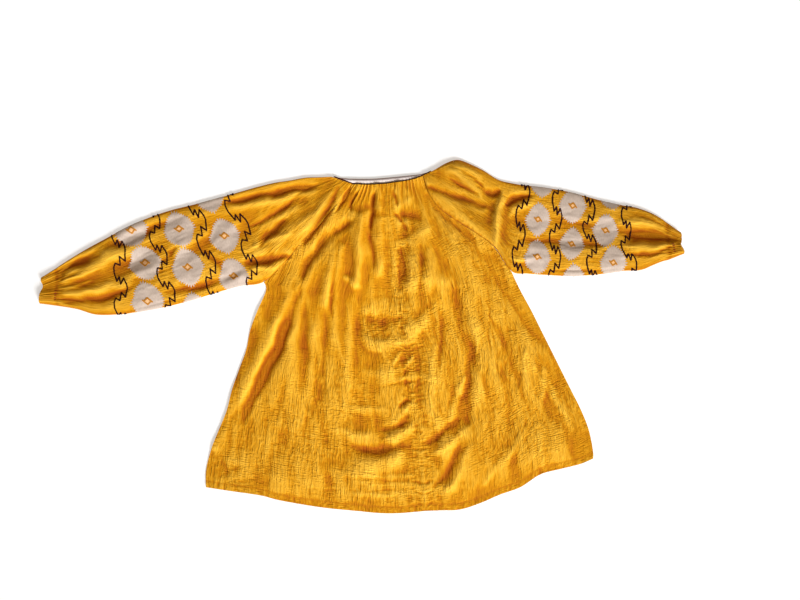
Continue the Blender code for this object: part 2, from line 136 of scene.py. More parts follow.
SLEEVE_RIGHT = np.array([
    (158, 365, 134, 353, 1.0),
    (185, 381, 147, 316, 3.0),
    (211, 388, 169, 283, 5.0),
    (242, 377, 211, 252, 6.0),
    (268, 364, 249, 228, 5.5),
    (301, 344, 290, 197, 5.0),
    (339, 335, 328, 144, 5.5),
    (370, 331, 365, 138, 6.0),
    (409, 326, 407, 135, 6.5),
    (449, 319, 449, 133, 7.0),
    (488, 309, 491, 134, 7.0),
    (528, 298, 532, 138, 7.0),
    (568, 289, 572, 144, 7.5),
    (603, 283, 612, 146, 7.5),
    (634, 272, 640, 157, 6.5),
    (656, 260, 660, 165, 5.0),
    (669, 251, 675, 169, 3.5),
    (697, 230, 704, 181, 4.5),
], dtype=float)
BACK_RISE_LEFT = np.array((-4.0, 12.0))
BACK_RISE_RIGHT = np.array((2.0, 6.0))

# Edges of the fronts, the back and the neck. Columns: x, y
CENTRE_SEAM = ((55, 335), (55, 287), (59, 232), (64, 181), (73, 144), (81, 76), (86, 19), (106, -47),
               (110, -91), (112, -126), (117, -164), (122, -203), (128, -247), (134, -311), (140, -383))
NECK_LEFT = ((-22, 335), (0, 333), (26, 333), (55, 335))
NECK_RIGHT = ((134, 353), (117, 346), (90, 340), (68, 337), (55, 335))
SIDE_LEFT = ((-216, 120), (-211, 102), (-229, 58), (-246, 14), (-255, -30), (-271, -74), (-286, -118),
             (-297, -162), (-315, -206), (-332, -250), (-343, -294), (-343, -331))
SIDE_RIGHT = ((328, 144), (348, 102), (372, 58), (394, 14), (416, -30), (438, -74), (460, -118),
              (482, -162), (499, -206), (508, -250), (508, -268))
HEM_LEFT = ((-343, -331), (-299, -338), (-224, -349), (-180, -360), (-92, -375), (-4, -384), (40, -388),
            (84, -388), (140, -383))
HEM_RIGHT = ((508, -268), (480, -280), (436, -291), (392, -303), (348, -331), (304, -347), (260, -366),
             (216, -380), (172, -382), (140, -383))
BACK_NECK = ((-68, 351), (-26, 347), (24, 347), (84, 352), (128, 357), (158, 365))
FRONT_NECK = ((-62, 350), (-40, 342), (-22, 335.5), (0, 333.5), (26, 333), (55, 335), (68, 337),
              (90, 340), (117, 346), (134, 353), (152, 362))

# Folds and creases, each along a curve through three points: ridges stand up and troughs go down. A lean
# of 1 makes the side to the left of the way along the curve steep, and -1 the side to the right.
# Columns: from x, y, through x, y, to x, y, half width, height, lean
CREASES = np.array([
    # Left front, from the raglan seam down to the side and the hem
    (-163, 84, -213, -30, -286, -169, 15, 4.5, 0.5),
    (-134, 102, -189, -34, -266, -186, 15, -4.5, 0.3),
    (-121, 80, -125, 14, -130, -118, 14, -1.8, 0.0),
    (-114, 89, -110, -8, -112, -107, 13, 1.4, 0.0),
    (-59, 102, -62, 3, -64, -96, 13, 1.4, 0.0),
    (-31, 80, -31, -19, -29, -129, 11, 1.8, -0.5),
    (-84, 90, -80, 10, -84, -90, 12, -1.2, 0.0),
    (-37, 311, -82, 240, -130, 166, 14, 3.5, 0.0),
    (-22, 254, -92, 200, -136, 124, 14, -5.0, 0.3),
    (-39, 205, -64, 154, -82, 60, 14, 4.2, 0.3),
    (-52, 190, -66, 124, -66, 40, 9, -2.8, 0.0),
    (-40, 131, -22, 124, -4, 113, 9, 2.6, 0.4),
    (0, 287, -6, 201, -11, 100, 14, 5.0, 0.0),
    (30, 328, 21, 286, 22, 236, 7, -4.2, 0.0),
    (21, 262, 20, 220, 26, 150, 7, -2.6, 0.0),
    (38, 290, 42, 212, 38, 124, 12, 4.0, 0.2),
    (-18, 281, 0, 278, 18, 283, 13, -1.8, -0.3),
    (20, 267, 37, 265, 53, 270, 11, -1.6, -0.3),
    (-339, -288, -300, -292, -262, -288, 14, -2.0, 0.0),
    (-150, 60, -170, -60, -214, -180, 18, 1.4, 0.3),
    (-98, -20, -104, -120, -120, -230, 16, -1.0, 0.0),
    (-46, -30, -48, -130, -50, -220, 16, 1.1, 0.3),
    (-10, 120, -12, 20, -16, -70, 14, -1.3, 0.0),
    (24, 130, 26, 60, 22, -20, 14, 1.5, 0.2),
    (-330, -250, -318, -240, -296, -200, 12, 1.6, 0.0),
    # Middle of the blouse, on both sides of the centre seam
    (4, 56, 31, 66, 62, 82, 12, 1.0, 0.5),
    (-7, 14, 26, -10, 70, -14, 13, 2.0, 0.4),
    (70, -14, 110, 3, 150, 41, 13, 2.0, 0.4),
    (0, 45, 40, 32, 84, 41, 15, -2.0, 0.0),
    (-9, -10, 13, -32, 48, -38, 9, -0.9, 0.0),
    (6, -24, 46, -26, 92, -10, 20, 2.0, 0.0),
    (0, -74, 44, -80, 92, -64, 18, 1.7, 0.0),
    (70, -60, 79, -46, 88, -32, 5, 1.8, 0.0),
    (94, -70, 104, -56, 112, -44, 5, 1.6, 0.0),
    (59, -102, 108, -87, 172, -91, 8, 1.0, 0.3),
    (40, -112, 80, -100, 112, -100, 7, -0.8, 0.0),
    (86, -170, 99, -157, 112, -140, 6, 1.6, 0.5),
    (78, -158, 90, -147, 100, -133, 6, -2.0, 0.0),
    (53, -223, 86, -212, 114, -188, 10, 2.8, 0.5),
    (42, -206, 74, -199, 102, -175, 9, -2.0, 0.0),
    (-22, -237, 26, -252, 92, -236, 14, -2.6, 0.0),
    (-40, -270, 26, -280, 106, -252, 20, 2.8, 0.5),
    (-80, -300, 18, -293, 120, -270, 14, 1.2, 0.0),
    (-22, -316, 40, -324, 110, -320, 7, 0.9, 0.3),
    (-37, -340, 29, -347, 95, -343, 6, 0.8, 0.3),
    (-4, -300, 51, -308, 117, -300, 6, 0.9, 0.3),
    (-30, -150, 10, -160, 52, -158, 8, 1.2, 0.3),
    (-60, -200, -16, -214, 30, -216, 9, 1.3, 0.3),
    # Right front, from the neck down
    (70, 268, 96, 266, 134, 256, 15, -3.4, -0.3),
    (96, 208, 120, 224, 150, 240, 13, 2.0, 0.5),
    (70, 272, 86, 252, 101, 232, 5, -2.4, 0.0),
    (108, 206, 111, 151, 103, 89, 13, 2.8, -0.5),
    (83, 200, 87, 146, 80, 98, 13, -3.8, 0.0),
    (174, 280, 268, 173, 398, -12, 24, -3.4, 0.0),
    (88, 244, 108, 190, 112, 128, 20, -2.2, 0.0),
    (68, 324, 73, 306, 78, 288, 5, -2.8, 0.0),
    (92, 330, 100, 304, 106, 284, 6, 1.8, 0.0),
    (140, 320, 178, 268, 250, 214, 8, -1.8, 0.0),
    (160, 330, 220, 262, 300, 190, 7, 1.4, 0.0),
    (168, 262, 238, 150, 330, 20, 20, 1.4, 0.0),
    (90, 10, 120, 30, 154, 62, 12, 2.4, 0.3),
    (128, 200, 131, 150, 127, 100, 9, -2.2, 0.0),
    (148, 196, 150, 150, 146, 96, 10, 2.0, 0.0),
    (170, 60, 173, 0, 166, -70, 9, -1.6, 0.0),
    (104, 118, 150, 126, 204, 110, 22, 2.4, 0.0),
    (190, -110, 216, -150, 236, -214, 18, -2.0, 0.0),
    (196, 120, 226, 10, 270, -110, 15, -2.2, 0.0),
    (222, 110, 262, 0, 312, -130, 15, 2.0, 0.3),
    (276, 60, 320, -40, 372, -150, 13, -1.8, 0.0),
    (150, -40, 152, -110, 150, -190, 13, 1.8, 0.3),
    (194, -193, 207, -131, 229, -83, 9, 2.2, 0.5),
    (150, -261, 198, -228, 238, -195, 12, 2.6, 0.5),
    (238, -195, 255, -118, 262, -19, 12, 1.9, 0.5),
    (132, -241, 176, -208, 213, -180, 11, -2.8, 0.0),
    (213, -180, 229, -113, 240, -8, 11, -2.6, 0.0),
    (178, -342, 213, -303, 235, -239, 12, 2.8, 0.5),
    (156, -332, 191, -292, 213, -237, 10, -2.4, 0.0),
    (300, -290, 330, -250, 352, -200, 9, 1.2, 0.0),
    (260, -330, 290, -292, 310, -262, 8, 1.2, 0.0),
    (405, -108, 412, -151, 440, -190, 10, -1.4, 0.0),
    (92, 250, 100, 215, 98, 176, 22, -2.4, 0.0),
    (102, 132, 110, 64, 112, -10, 22, 1.8, 0.0),
    (412, -96, 424, -136, 450, -172, 8, 1.0, 0.3),
    (470, -246, 490, -238, 503, -232, 14, -1.2, 0.0),
    (396, -60, 400, -100, 396, -140, 8, 1.6, 0.0),
    (360, -30, 356, -90, 366, -150, 8, 1.4, 0.0),
    # Left sleeve, from the neck to the wrist
    (-300, 296, -176, 318, -64, 341, 11, -4.0, 0.0),
    (-290, 283, -190, 300, -90, 322, 10, 2.2, 0.0),
    (-51, 326, -84, 264, -132, 200, 9, -4.0, 0.0),
    (-62, 322, -104, 262, -150, 212, 9, 2.4, 0.0),
    (-22, 330, -40, 300, -62, 268, 5, -3.2, 0.0),
    (-8, 324, -20, 294, -22, 276, 5, -2.4, 0.0),
    (-118, 330, -190, 268, -250, 240, 7, -2.0, 0.0),
    (-202, 186, -158, 230, -104, 272, 12, 3.0, 0.0),
    (-226, 196, -204, 226, -164, 260, 11, -4.4, 0.0),
    (-262, 160, -213, 168, -156, 176, 11, -4.6, 0.0),
    (-212, 222, -170, 268, -128, 292, 8, 1.8, 0.0),
    (-240, 196, -204, 214, -152, 222, 6, 1.8, 0.0),
    (-248, 142, -222, 152, -190, 150, 6, 2.2, 0.0),
    (-330, 236, -422, 180, -536, 110, 15, 3.5, 0.3),
    (-406, 196, -424, 178, -446, 164, 10, -3.0, 0.0),
    (-462, 232, -532, 200, -640, 150, 14, -3.2, 0.0),
    (-482, 200, -560, 168, -664, 116, 22, 4.6, 0.6),
    (-668, 132, -630, 156, -586, 184, 15, -1.5, 0.0),
    (-560, 196, -480, 232, -380, 268, 14, -3.0, 0.0),
    (-360, 282, -300, 296, -236, 312, 12, -2.6, 0.0),
    (-330, 200, -300, 232, -262, 256, 14, 2.6, 0.3),
    (-250, 96, -300, 150, -352, 190, 12, -2.4, 0.0),
    (-668, 84, -590, 80, -500, 108, 13, -4.8, 0.0),
    (-660, 100, -600, 96, -540, 122, 9, 2.6, 0.0),
    (-430, 96, -340, 116, -262, 146, 14, -3.6, 0.0),
    (-500, 62, -440, 72, -378, 88, 3, -1.8, 0.0),
    (-678, 136, -614, 174, -540, 212, 14, -3.6, 0.0),
    (-664, 120, -620, 132, -575, 150, 4, 2.0, 0.0),
    (-668, 108, -628, 112, -590, 122, 4, 1.6, 0.0),
    # Right sleeve, from the neck to the wrist
    (172, 364, 214, 362, 262, 338, 13, 3.6, 0.0),
    (140, 330, 216, 305, 276, 284, 11, -4.0, 0.0),
    (196, 372, 236, 352, 268, 322, 6, -2.0, 0.0),
    (203, 355, 236, 336, 262, 306, 6, 1.8, 0.0),
    (190, 345, 226, 328, 256, 308, 5, -1.6, 0.0),
    (306, 312, 295, 267, 294, 200, 9, 5.0, -0.4),
    (310, 284, 337, 304, 376, 309, 10, -4.6, 0.0),
    (318, 262, 344, 285, 380, 292, 9, 2.6, 0.0),
    (262, 322, 286, 316, 304, 322, 9, -4.0, 0.0),
    (352, 214, 440, 208, 530, 202, 14, -3.4, 0.0),
    (556, 232, 623, 222, 692, 212, 15, -5.0, 0.0),
    (560, 252, 622, 250, 676, 226, 9, 3.0, 0.4),
    (570, 200, 634, 196, 690, 206, 9, 3.5, 0.0),
    (580, 180, 630, 182, 676, 196, 6, -2.4, 0.0),
    (318, 172, 350, 168, 390, 178, 6, 2.0, 0.0),
    (440, 266, 500, 258, 560, 262, 9, 1.8, 0.0),
    (372, 145, 480, 144, 612, 149, 3, -2.2, 0.0),
], dtype=float)
CREASE_STEPS = 10
CREASE_TAPER = 0.8
CREASE_WIDEN = 1.9
CREASE_END = 0.4
CREASE_MARGIN = 0.03
CREASE_UNEVEN = 0.35
CREST_ROUND = 0.26
FLANK = 2.1
LEAN_SHARE = 0.55
FOLD_DEPTH = 1.9
TROUGH_WIDEN = 1.5
HIGHEST = 24.4

# How far folds are pushed about. Columns: cell, distance
WARPS = ((48.0, 4.0), (18.0, 0.9))

# Unevenness of the whole cloth. Columns: cell across, cell down, height
BILLOWS = ((80.0, 130.0, 3.8), (36.0, 80.0, 2.4))
CREASING = ((24.0, 70.0, 1.3), (10.0, 40.0, 0.6), (5.4, 22.0, 0.45))
CREASING_LEVEL = 0.4
PLAIN_CREASING = 0.3

# Patches of small wrinkles that run one way. The way is the direction of their lines in degrees from X.
# Columns: centre x, centre y, reach x, reach y, way, spacing, length, height
CRUMPLES = np.array([
    (250, 20, 95, 150, 94, 5.0, 70, 1.1),
    (190, -60, 60, 120, 88, 5.5, 80, 0.8),
    (348, -206, 110, 90, 62, 6.0, 34, 1.1),
    (425, -150, 45, 45, -38, 5.0, 18, 1.3),
    (330, -60, 70, 80, 82, 6.0, 45, 0.9),
    (-136, -210, 170, 110, -8, 5.5, 22, 0.8),
    (-60, -120, 80, 110, 10, 5.0, 18, 0.6),
    (-280, -300, 70, 40, -6, 6.0, 34, 0.9),
    (227, 234, 70, 50, 30, 5.0, 16, 0.8),
    (40, -335, 150, 34, 2, 5.5, 44, 1.4),
    (120, -120, 70, 190, 12, 5.5, 30, 1.0),
    (90, 150, 34, 120, 4, 4.5, 20, 1.0),
    (60, 20, 60, 50, 30, 6.0, 20, 1.2),
    (-120, 250, 70, 70, 52, 6.0, 60, 0.8),
    (-210, 180, 60, 50, 40, 5.5, 40, 1.0),
    (-430, 150, 150, 90, 24, 8.0, 60, 0.9),
    (225, 340, 60, 50, -24, 5.5, 40, 0.9),
    (350, 240, 60, 90, -18, 6.0, 30, 0.8),
    (500, 215, 150, 90, -4, 7.0, 40, 0.9),
], dtype=float)
CRUMPLE_STRENGTH = 1.2
CRUMPLE_SWAY = 0.8
CRUMPLE_SWAY_CELL = 30.0
CRUMPLE_LEAST = 0.02
LINE_LEVEL = 0.42

# How crinkled the cloth is: away from the patches, in the middle of one, and on the sleeves
PLAIN_SHARE = 0.4
PATCH_SHARE = 0.8
SLEEVE_CRINKLED = 0.7

# Puckers along the seams
PUCKER_STRENGTH = 1.6
PUCKER_LEVEL = 0.45
PUCKER_SWAY = 0.5
PUCKER_SWAY_CELL = (20.0, 12.0)
CENTRE_PUCKER = 1.2
CENTRE_PUCKER_SPACING = 15.0
CENTRE_PUCKER_REACH = 26.0
CENTRE_PUCKER_START = 60.0
CENTRE_PUCKER_GROWTH = 160.0
CENTRE_PUCKER_SLANT = 0.25
SEAM_GROOVE = 0.5
SEAM_GROOVE_WIDTH = 3.0
SIDE_GROOVE_END = 1.15 * RAGLAN_SHARE
SIDE_GROOVE_FADE = 0.05
EDGE_PUCKER = 0.9
EDGE_PUCKER_SPACING = 10.0
EDGE_PUCKER_REACH = 12.0
HEM_BAND = 14.0
HEM_GROOVE = 0.5
HEM_GROOVE_WIDTH = 2.2
HEM_RIPPLE = 1.1
HEM_RIPPLE_SPACING = 17.0
HEM_RIPPLE_REACH = HEM_BAND * 1.4

# Seeds of the noises. A table's rows take the numbers from its seed on
WARP_SEED = 3
CREASE_SEED = 8
CRUMPLE_SEED = 10
NECK_SEED = 21
CUFF_SEED = 24
SHOULDER_SEED = 27
BILLOW_SEED = 30
CREASING_SEED = 34
CRUMPLE_SWAY_SEED = 40
CENTRE_SEED = 51
SIDE_SEED = 57
HEM_SEED = 61
RAGLAN_SEED = 67
MEDALLION_SEED = 70
BACK_SEED = 81

# Medallions of pale thread. Columns: centre x, centre y, turn in degrees, half width, half height
MEDALLIONS_LEFT = np.array([
    (-334, 311, 6, 31, 38),
    (-301, 221, 4, 32, 38),
    (-281, 133, 2, 32, 39),
    (-400, 236, 8, 33, 38),
    (-381, 152, 2, 34, 40),
    (-367, 58, 0, 31, 36),
    (-506, 234, 10, 34, 37),
    (-475, 162, 6, 35, 37),
    (-469, 78, 2, 35, 41),
], dtype=float)
MEDALLIONS_RIGHT = np.array([
    (397, 340, -12, 26, 34),
    (386, 257, -14, 26, 35),
    (384, 175, -10, 28, 36),
    (462, 287, -14, 29, 36),
    (460, 203, -18, 26, 34),
    (464, 124, -10, 26, 33),
    (550, 313, -14, 26, 34),
    (534, 233, -16, 27, 34),
    (550, 162, -12, 28, 36),
], dtype=float)

# Corners of a medallion. Columns: share of its half width, share of its half height, and 1 where the thread
# runs to a tip
MEDALLION_CORNERS = np.array([
    (0.98, 0.06, 1),
    (0.74, 0.5, 0),
    (0.28, 0.86, 0),
    (-0.28, 0.99, 1),
    (-0.68, 0.7, 0),
    (-0.88, 0.26, 0),
    (-0.98, -0.14, 1),
    (-0.76, -0.56, 0),
    (-0.34, -0.86, 0),
    (0.24, -0.98, 1),
    (0.7, -0.7, 0),
    (0.92, -0.3, 0),
], dtype=float)
MEDALLION_UNEVEN = 0.04
TOOTH_PITCH = 5.2
TOOTH_DEPTH = 4.4
TOOTH_SHAPE = (0.0, 0.7, 1.0, 0.3)
TOOTH_UNEVEN = (0.7, 1.2)
TIP = 0.6
TIP_SHARPNESS = 4

# The rhombus in a medallion, as shares of the medallion's half width, and the width and tail of its bars
RHOMBUS = (0.23, 0.21)
RHOMBUS_BAND = 3.4
RHOMBUS_TAIL = 3.4
RHOMBUS_HEART = 0.6

# Layers of thread. Columns: spacing of its points, foot and top above the cloth
MEDALLION_LAYER = (2.6, 0.05, 0.5)
RHOMBUS_LAYER = (2.0, 0.3, 0.95)
HEART_LAYER = (2.0, 0.3, 0.75)

# Places where each zigzag line of dark thread turns from its teeth to its bow, down the line. Columns: x, y
ZIGZAGS_LEFT = (
    ((-341, 385), (-301, 299), (-262, 212), (-251, 130), (-240, 48)),
    ((-384, 310), (-360, 224), (-340, 131), (-328, 48)),
    ((-478, 306), (-464, 230), (-447, 151), (-430, 70), (-420, -10)),
    ((-548, 244), (-540, 161), (-538, 84), (-536, 6)),
)
ZIGZAGS_RIGHT = (
    ((354, 378), (343, 287), (333, 197), (330, 112)),
    ((424, 396), (422, 318), (415, 235), (413, 147), (412, 60)),
    ((493, 338), (487, 253), (495, 178), (497, 100)),
    ((575, 356), (572, 283), (568, 210), (585, 136), (590, 60)),
)

# One figure of a zigzag line: a bow, three strokes of teeth to the right, a plain stretch and two strokes
# back. Columns: share of the way to the next turn, place to the right of the line
FIGURE = np.array([
    (0.0, 0.0),
    (0.11, -3.6),
    (0.27, -3.2),
    (0.52, 3.4),
    (0.4, 8.6),
    (0.61, 12.4),
    (0.43, 18.4),
    (0.6, 24.6),
    (0.7, 25.8),
    (0.97, 21.6),
    (0.84, 11.6),
    (1.07, 9.6),
], dtype=float)
FIGURE_WIDTH_LEFT = 1.0
FIGURE_WIDTH_RIGHT = 0.84

# Stitches. Sizes: length, width, height
ZIGZAG_STITCH = (6.2, 3.6, 1.2)
ZIGZAG_PITCH = 3.2
ZIGZAG_LIFT = 0.3
ZIGZAG_LOWEST = 3.3
HEM_STITCH = (3.4, 1.2, 0.7)
HEM_PITCH = 4.4
RAGLAN_STITCH = (2.6, 1.4, 0.7)
RAGLAN_PITCH = 5.0
RAGLAN_REACH = 5.0
RAGLAN_ROWS_FREE = 4
CUFF_STITCH = (5.5, 2.2, 1.0)
CUFF_LIFT = 0.35
SHORTEST_STRETCH = 0.3

# Dashes of thread at the elastics. Columns: x, y
CUFF_DASHES_LEFT = ((-671, 100), (-671, 95), (-671, 90), (-671, 85.5), (-671, 81))
CUFF_DASHES_RIGHT = ((681, 204), (682, 199.5), (682.5, 195), (683, 190.5), (683.5, 186))

# Camera, straight above the picture's centre
VIEW_CENTRE = (83.6, 80.3)
VIEW_HEIGHT = 2400.0
VIEW_WIDTH = 1760.0
SENSOR = 36.0
CLIP_END = 100.0


# Curves

def ease(share):
    """Soft step from 0 to 1."""
    share = np.clip(share, 0.0, 1.0)
    return share * share * (3.0 - 2.0 * share)


def bell(distance, width):
    """Bell curve, 1 at no distance and fading to 0 past a width."""
    return np.exp(-(distance / width) ** 2)


def spline(points, places):
    """Smooth curve through points, read at places given as fractional row numbers."""
    points = np.asarray(points, dtype=float)
    last = len(points) - 1
    places = np.clip(np.atleast_1d(np.asarray(places, dtype=float)), 0.0, last)
    row = np.minimum(places.astype(int), last - 1)
    t = (places - row)[:, None]
    before = points[np.maximum(row - 1, 0)]
    start = points[row]
    end = points[row + 1]
    after = points[np.minimum(row + 2, last)]
    return 0.5 * (2 * start + (end - before) * t
                  + (2 * before - 5 * start + 4 * end - after) * t ** 2
                  + (3 * start - before - 3 * end + after) * t ** 3)


def along(points, shares, fine=24):
    """Points at shares of the length of the smooth curve through a few points."""
    last = len(points) - 1
    dense = spline(points, np.linspace(0, last, last * fine + 1))
    length = run_length(dense)
    return at_lengths(dense, length, np.asarray(shares, dtype=float) * length[-1])


def at_lengths(line, length, at):
    """Points of a line at given lengths along it."""
    return np.column_stack([np.interp(at, length, line[:, axis]) for axis in range(line.shape[1])])


def run_length(points):
    """Length from the first point of a line to each of its points."""
    steps = np.linalg.norm(np.diff(points, axis=0), axis=1)
    return np.concatenate(([0.0], np.cumsum(steps)))


# Relief of the cloth

NOISE_CELLS = 64


def ripple_noise(x, y, seed):
    """Gradient noise, about -1 to 1, at places given in cells."""
    turns = np.random.default_rng(seed).uniform(0, 2 * math.pi, (NOISE_CELLS, NOISE_CELLS))
    column = np.floor(x).astype(int)
    row = np.floor(y).astype(int)
    in_x = x - column
    in_y = y - row

    def corner(right, up):
        turn = turns[(row + up) % NOISE_CELLS, (column + right) % NOISE_CELLS]
        return np.cos(turn) * (in_x - right) + np.sin(turn) * (in_y - up)

    soft_x = ease(in_x)
    soft_y = ease(in_y)
    low = corner(0, 0) + (corner(1, 0) - corner(0, 0)) * soft_x
    high = corner(0, 1) + (corner(1, 1) - corner(0, 1)) * soft_x
    return 1.6 * (low + (high - low) * soft_y)


def warped(plan):
    """Plan points pushed a little way about, so that no fold runs quite evenly."""
    moved = plan.copy()
    for number, (cell, distance) in enumerate(WARPS):
        x = plan[:, 0] / cell
        y = plan[:, 1] / cell
        seed = WARP_SEED + 2 * number
        moved += distance * np.column_stack((ripple_noise(x, y, seed), ripple_noise(x, y, seed + 1)))
    return moved


def billow_relief(cloth, crinkled):
    """Height of the soft swells and of the sharp small creases along the grain of the cloth."""
    total = np.zeros(len(cloth))
    for number, (across, down, height) in enumerate(BILLOWS):
        total += height * ripple_noise(cloth[:, 0] / across, cloth[:, 1] / down, BILLOW_SEED + number)
    for number, (across, down, height) in enumerate(CREASING):
        lines = ripple_noise(cloth[:, 0] / across, cloth[:, 1] / down, CREASING_SEED + number)
        total += height * crinkled * (CREASING_LEVEL - np.abs(lines))
    return total


def nearest_on(path, points):
    """Distance of each point from a path, its share of the way along, and 1 for the left side or -1."""
    steps = len(path) - 1
    nearest = np.full(len(points), np.inf)
    share = np.zeros(len(points))
    side = np.zeros(len(points))
    for step in range(steps):
        start = path[step]
        run = path[step + 1] - start
        t = np.clip((points - start) @ run / (run @ run), 0.0, 1.0)
        apart = points - start - t[:, None] * run
        distance = np.linalg.norm(apart, axis=1)
        closer = distance < nearest
        nearest[closer] = distance[closer]
        share[closer] = (step + t[closer]) / steps
        side[closer] = np.sign(run[0] * apart[closer, 1] - run[1] * apart[closer, 0])
    return nearest, share, side


def crease_relief(plan):
    """Sum of the heights of the folds and creases at points of the plan."""
    total = np.zeros(len(plan))
    for number, (*route, half_width, height, lean) in enumerate(CREASES):
        half_width *= CREASE_WIDEN if height > 0 else TROUGH_WIDEN
        height *= FOLD_DEPTH
        lean *= LEAN_SHARE
        path = spline(np.reshape(route, (3, 2)), np.linspace(0, 2, CREASE_STEPS + 1))
        reach = half_width * (1 + abs(lean))
        near = np.all((plan > path.min(0) - reach) & (plan < path.max(0) + reach), axis=1)
        if not near.any():
            continue
        nearest, share, side = nearest_on(path, plan[near])
        taper = np.sin(math.pi * (CREASE_MARGIN + (1 - 2 * CREASE_MARGIN) * share)) ** CREASE_TAPER
        width = half_width * (1 - lean * side) * (CREASE_END + (1 - CREASE_END) * taper)
        off_crest = np.hypot(nearest / width, CREST_ROUND) - CREST_ROUND
        across = np.clip(1.0 - off_crest, 0.0, 1.0) ** FLANK
        uneven = 1 + CREASE_UNEVEN * ripple_noise(4 * share, 0 * share + number, CREASE_SEED)
        total[near] += height * across * taper * uneven
    return total


def patch_window(off_x, off_y, reach_x, reach_y):
    """1 in the middle of a patch of wrinkles, fading to 0 past its reach."""
    return np.exp(-(off_x / reach_x) ** 2 - (off_y / reach_y) ** 2)


def crumple_relief(plan):
    """Sum of the heights of the small wrinkles at points of the plan."""
    total = np.zeros(len(plan))
    for number, (x, y, reach_x, reach_y, way, spacing, length, height) in enumerate(CRUMPLES):
        turn = math.radians(way)
        off_x = plan[:, 0] - x
        off_y = plan[:, 1] - y
        window = patch_window(off_x, off_y, reach_x, reach_y)
        near = window > CRUMPLE_LEAST
        ahead = off_x[near] * math.cos(turn) + off_y[near] * math.sin(turn)
        across = off_y[near] * math.cos(turn) - off_x[near] * math.sin(turn)
        sway = ripple_noise(ahead / (2 * length), across / CRUMPLE_SWAY_CELL, CRUMPLE_SWAY_SEED + number)
        lines = ripple_noise(ahead / length, across / spacing + CRUMPLE_SWAY * sway, CRUMPLE_SEED + number)
        total[near] += height * window[near] * (LINE_LEVEL - np.abs(lines)) * CRUMPLE_STRENGTH
    return total


def crinkle_share(plan):
    """How crinkled the cloth is at points of the plan, 0 to 1."""
    total = np.full(len(plan), PLAIN_SHARE)
    for x, y, reach_x, reach_y, *_, height in CRUMPLES:
        total += PATCH_SHARE * height * patch_window(plan[:, 0] - x, plan[:, 1] - y, reach_x, reach_y)
    return np.clip(total, 0.0, 1.0)


def relief(plan, cloth):
    """Height of all folds and wrinkles, from the places on the plan and along the grain of the cloth."""
    shifted = warped(plan)
    placed = crease_relief(shifted) + crumple_relief(shifted)
    crinkled = PLAIN_CREASING + (1 - PLAIN_CREASING) * crinkle_share(plan)
    return placed + billow_relief(warped(cloth), crinkled)


def puckers(distance_along, distance_off, spacing, reach, seed):
    """Short uneven wrinkles square to a seam, highest at the seam and fading off it."""
    cell_along, cell_off = PUCKER_SWAY_CELL
    sway = PUCKER_SWAY * ripple_noise(distance_along / cell_along, distance_off / cell_off, seed + 1)
    lines = ripple_noise(2 * distance_along / spacing + sway, distance_off / reach, seed)
    return (PUCKER_LEVEL - np.abs(lines)) * PUCKER_STRENGTH * bell(distance_off, reach)


def gathers(table, place, distance, seed):
    """Height of uneven gathers at an edge, from the place along the edge and the distance off it."""
    total = np.zeros(place.shape)
    for number, (spacing, length, reach, height) in enumerate(table):
        sway = GATHER_SWAY * ripple_noise(place / (GATHER_SWAY_CELL * spacing), distance / length, seed + 7)
        lines = ripple_noise(2 * place / spacing + sway, distance / length, seed + number)
        patches = place / (GATHER_UNEVEN_CELL * spacing)
        uneven = ripple_noise(patches, distance / (2 * length), seed + 11 + number)
        strength = GATHER_STRENGTH + GATHER_UNEVEN * uneven
        total += strength * height * (LINE_LEVEL - np.abs(lines)) * bell(distance, reach)
    return total


# Meshes

CLOTH_SHARP = 70.0
PATCH_SHARP = 50.0
FILL_ROW = 0.87
FILL_CLEAR = 0.45


def number_grid(first, rows, columns):
    """Point numbers of a grid, row by row."""
    return first + np.arange(rows * columns).reshape(rows, columns)


def quads(grid):
    """Faces between neighbouring points of a grid of point numbers."""
    return np.stack((grid[:-1, :-1], grid[:-1, 1:], grid[1:, 1:], grid[1:, :-1]), axis=-1).reshape(-1, 4)


def zip_loop(fine, coarse):
    """Triangles between a closed loop of points and one with half as many."""
    fine_next = np.roll(fine, -1)
    after_fine = fine_next[1::2]
    middle = fine[1::2]
    start = fine[0::2]
    coarse_next = np.roll(coarse, -1)
    return np.concatenate((np.column_stack((start, coarse, middle)),
                           np.column_stack((middle, coarse, coarse_next)),
                           np.column_stack((middle, coarse_next, after_fine))))


def smooth_mesh(name, points, faces, uv=None, attributes=None, sharp=CLOTH_SHARP):
    """Mesh in metres from millimetre points, with its faces turned out and its UV map by points."""
    mesh = bpy.data.meshes.new(name)
    mesh.from_pydata((np.asarray(points) * MM).tolist(), [], [list(map(int, face)) for face in faces])
    if uv is not None:
        corners = np.zeros(len(mesh.loops), dtype=np.int32)
        mesh.loops.foreach_get("vertex_index", corners)
        layer = mesh.uv_layers.new(name="cloth")
        layer.data.foreach_set("uv", (uv[corners] * MM).astype(np.float32).ravel())
    for label, values in (attributes or {}).items():
        layer = mesh.attributes.new(label, "FLOAT", "POINT")
        layer.data.foreach_set("value", values.astype(np.float32))
    shell = bmesh.new()
    shell.from_mesh(mesh)
    bmesh.ops.recalc_face_normals(shell, faces=shell.faces)
    shell.to_mesh(mesh)
    shell.free()
    mesh.shade_smooth()
    mesh.set_sharp_from_angle(angle=math.radians(sharp))
    mesh.validate()
    return mesh


def add_object(name, mesh, finish):
    """Object at the origin with a mesh in one finish."""
    mesh.materials.clear()
    mesh.materials.append(finish)
    made = bpy.data.objects.new(name, mesh)
    bpy.context.scene.collection.objects.link(made)
    return made


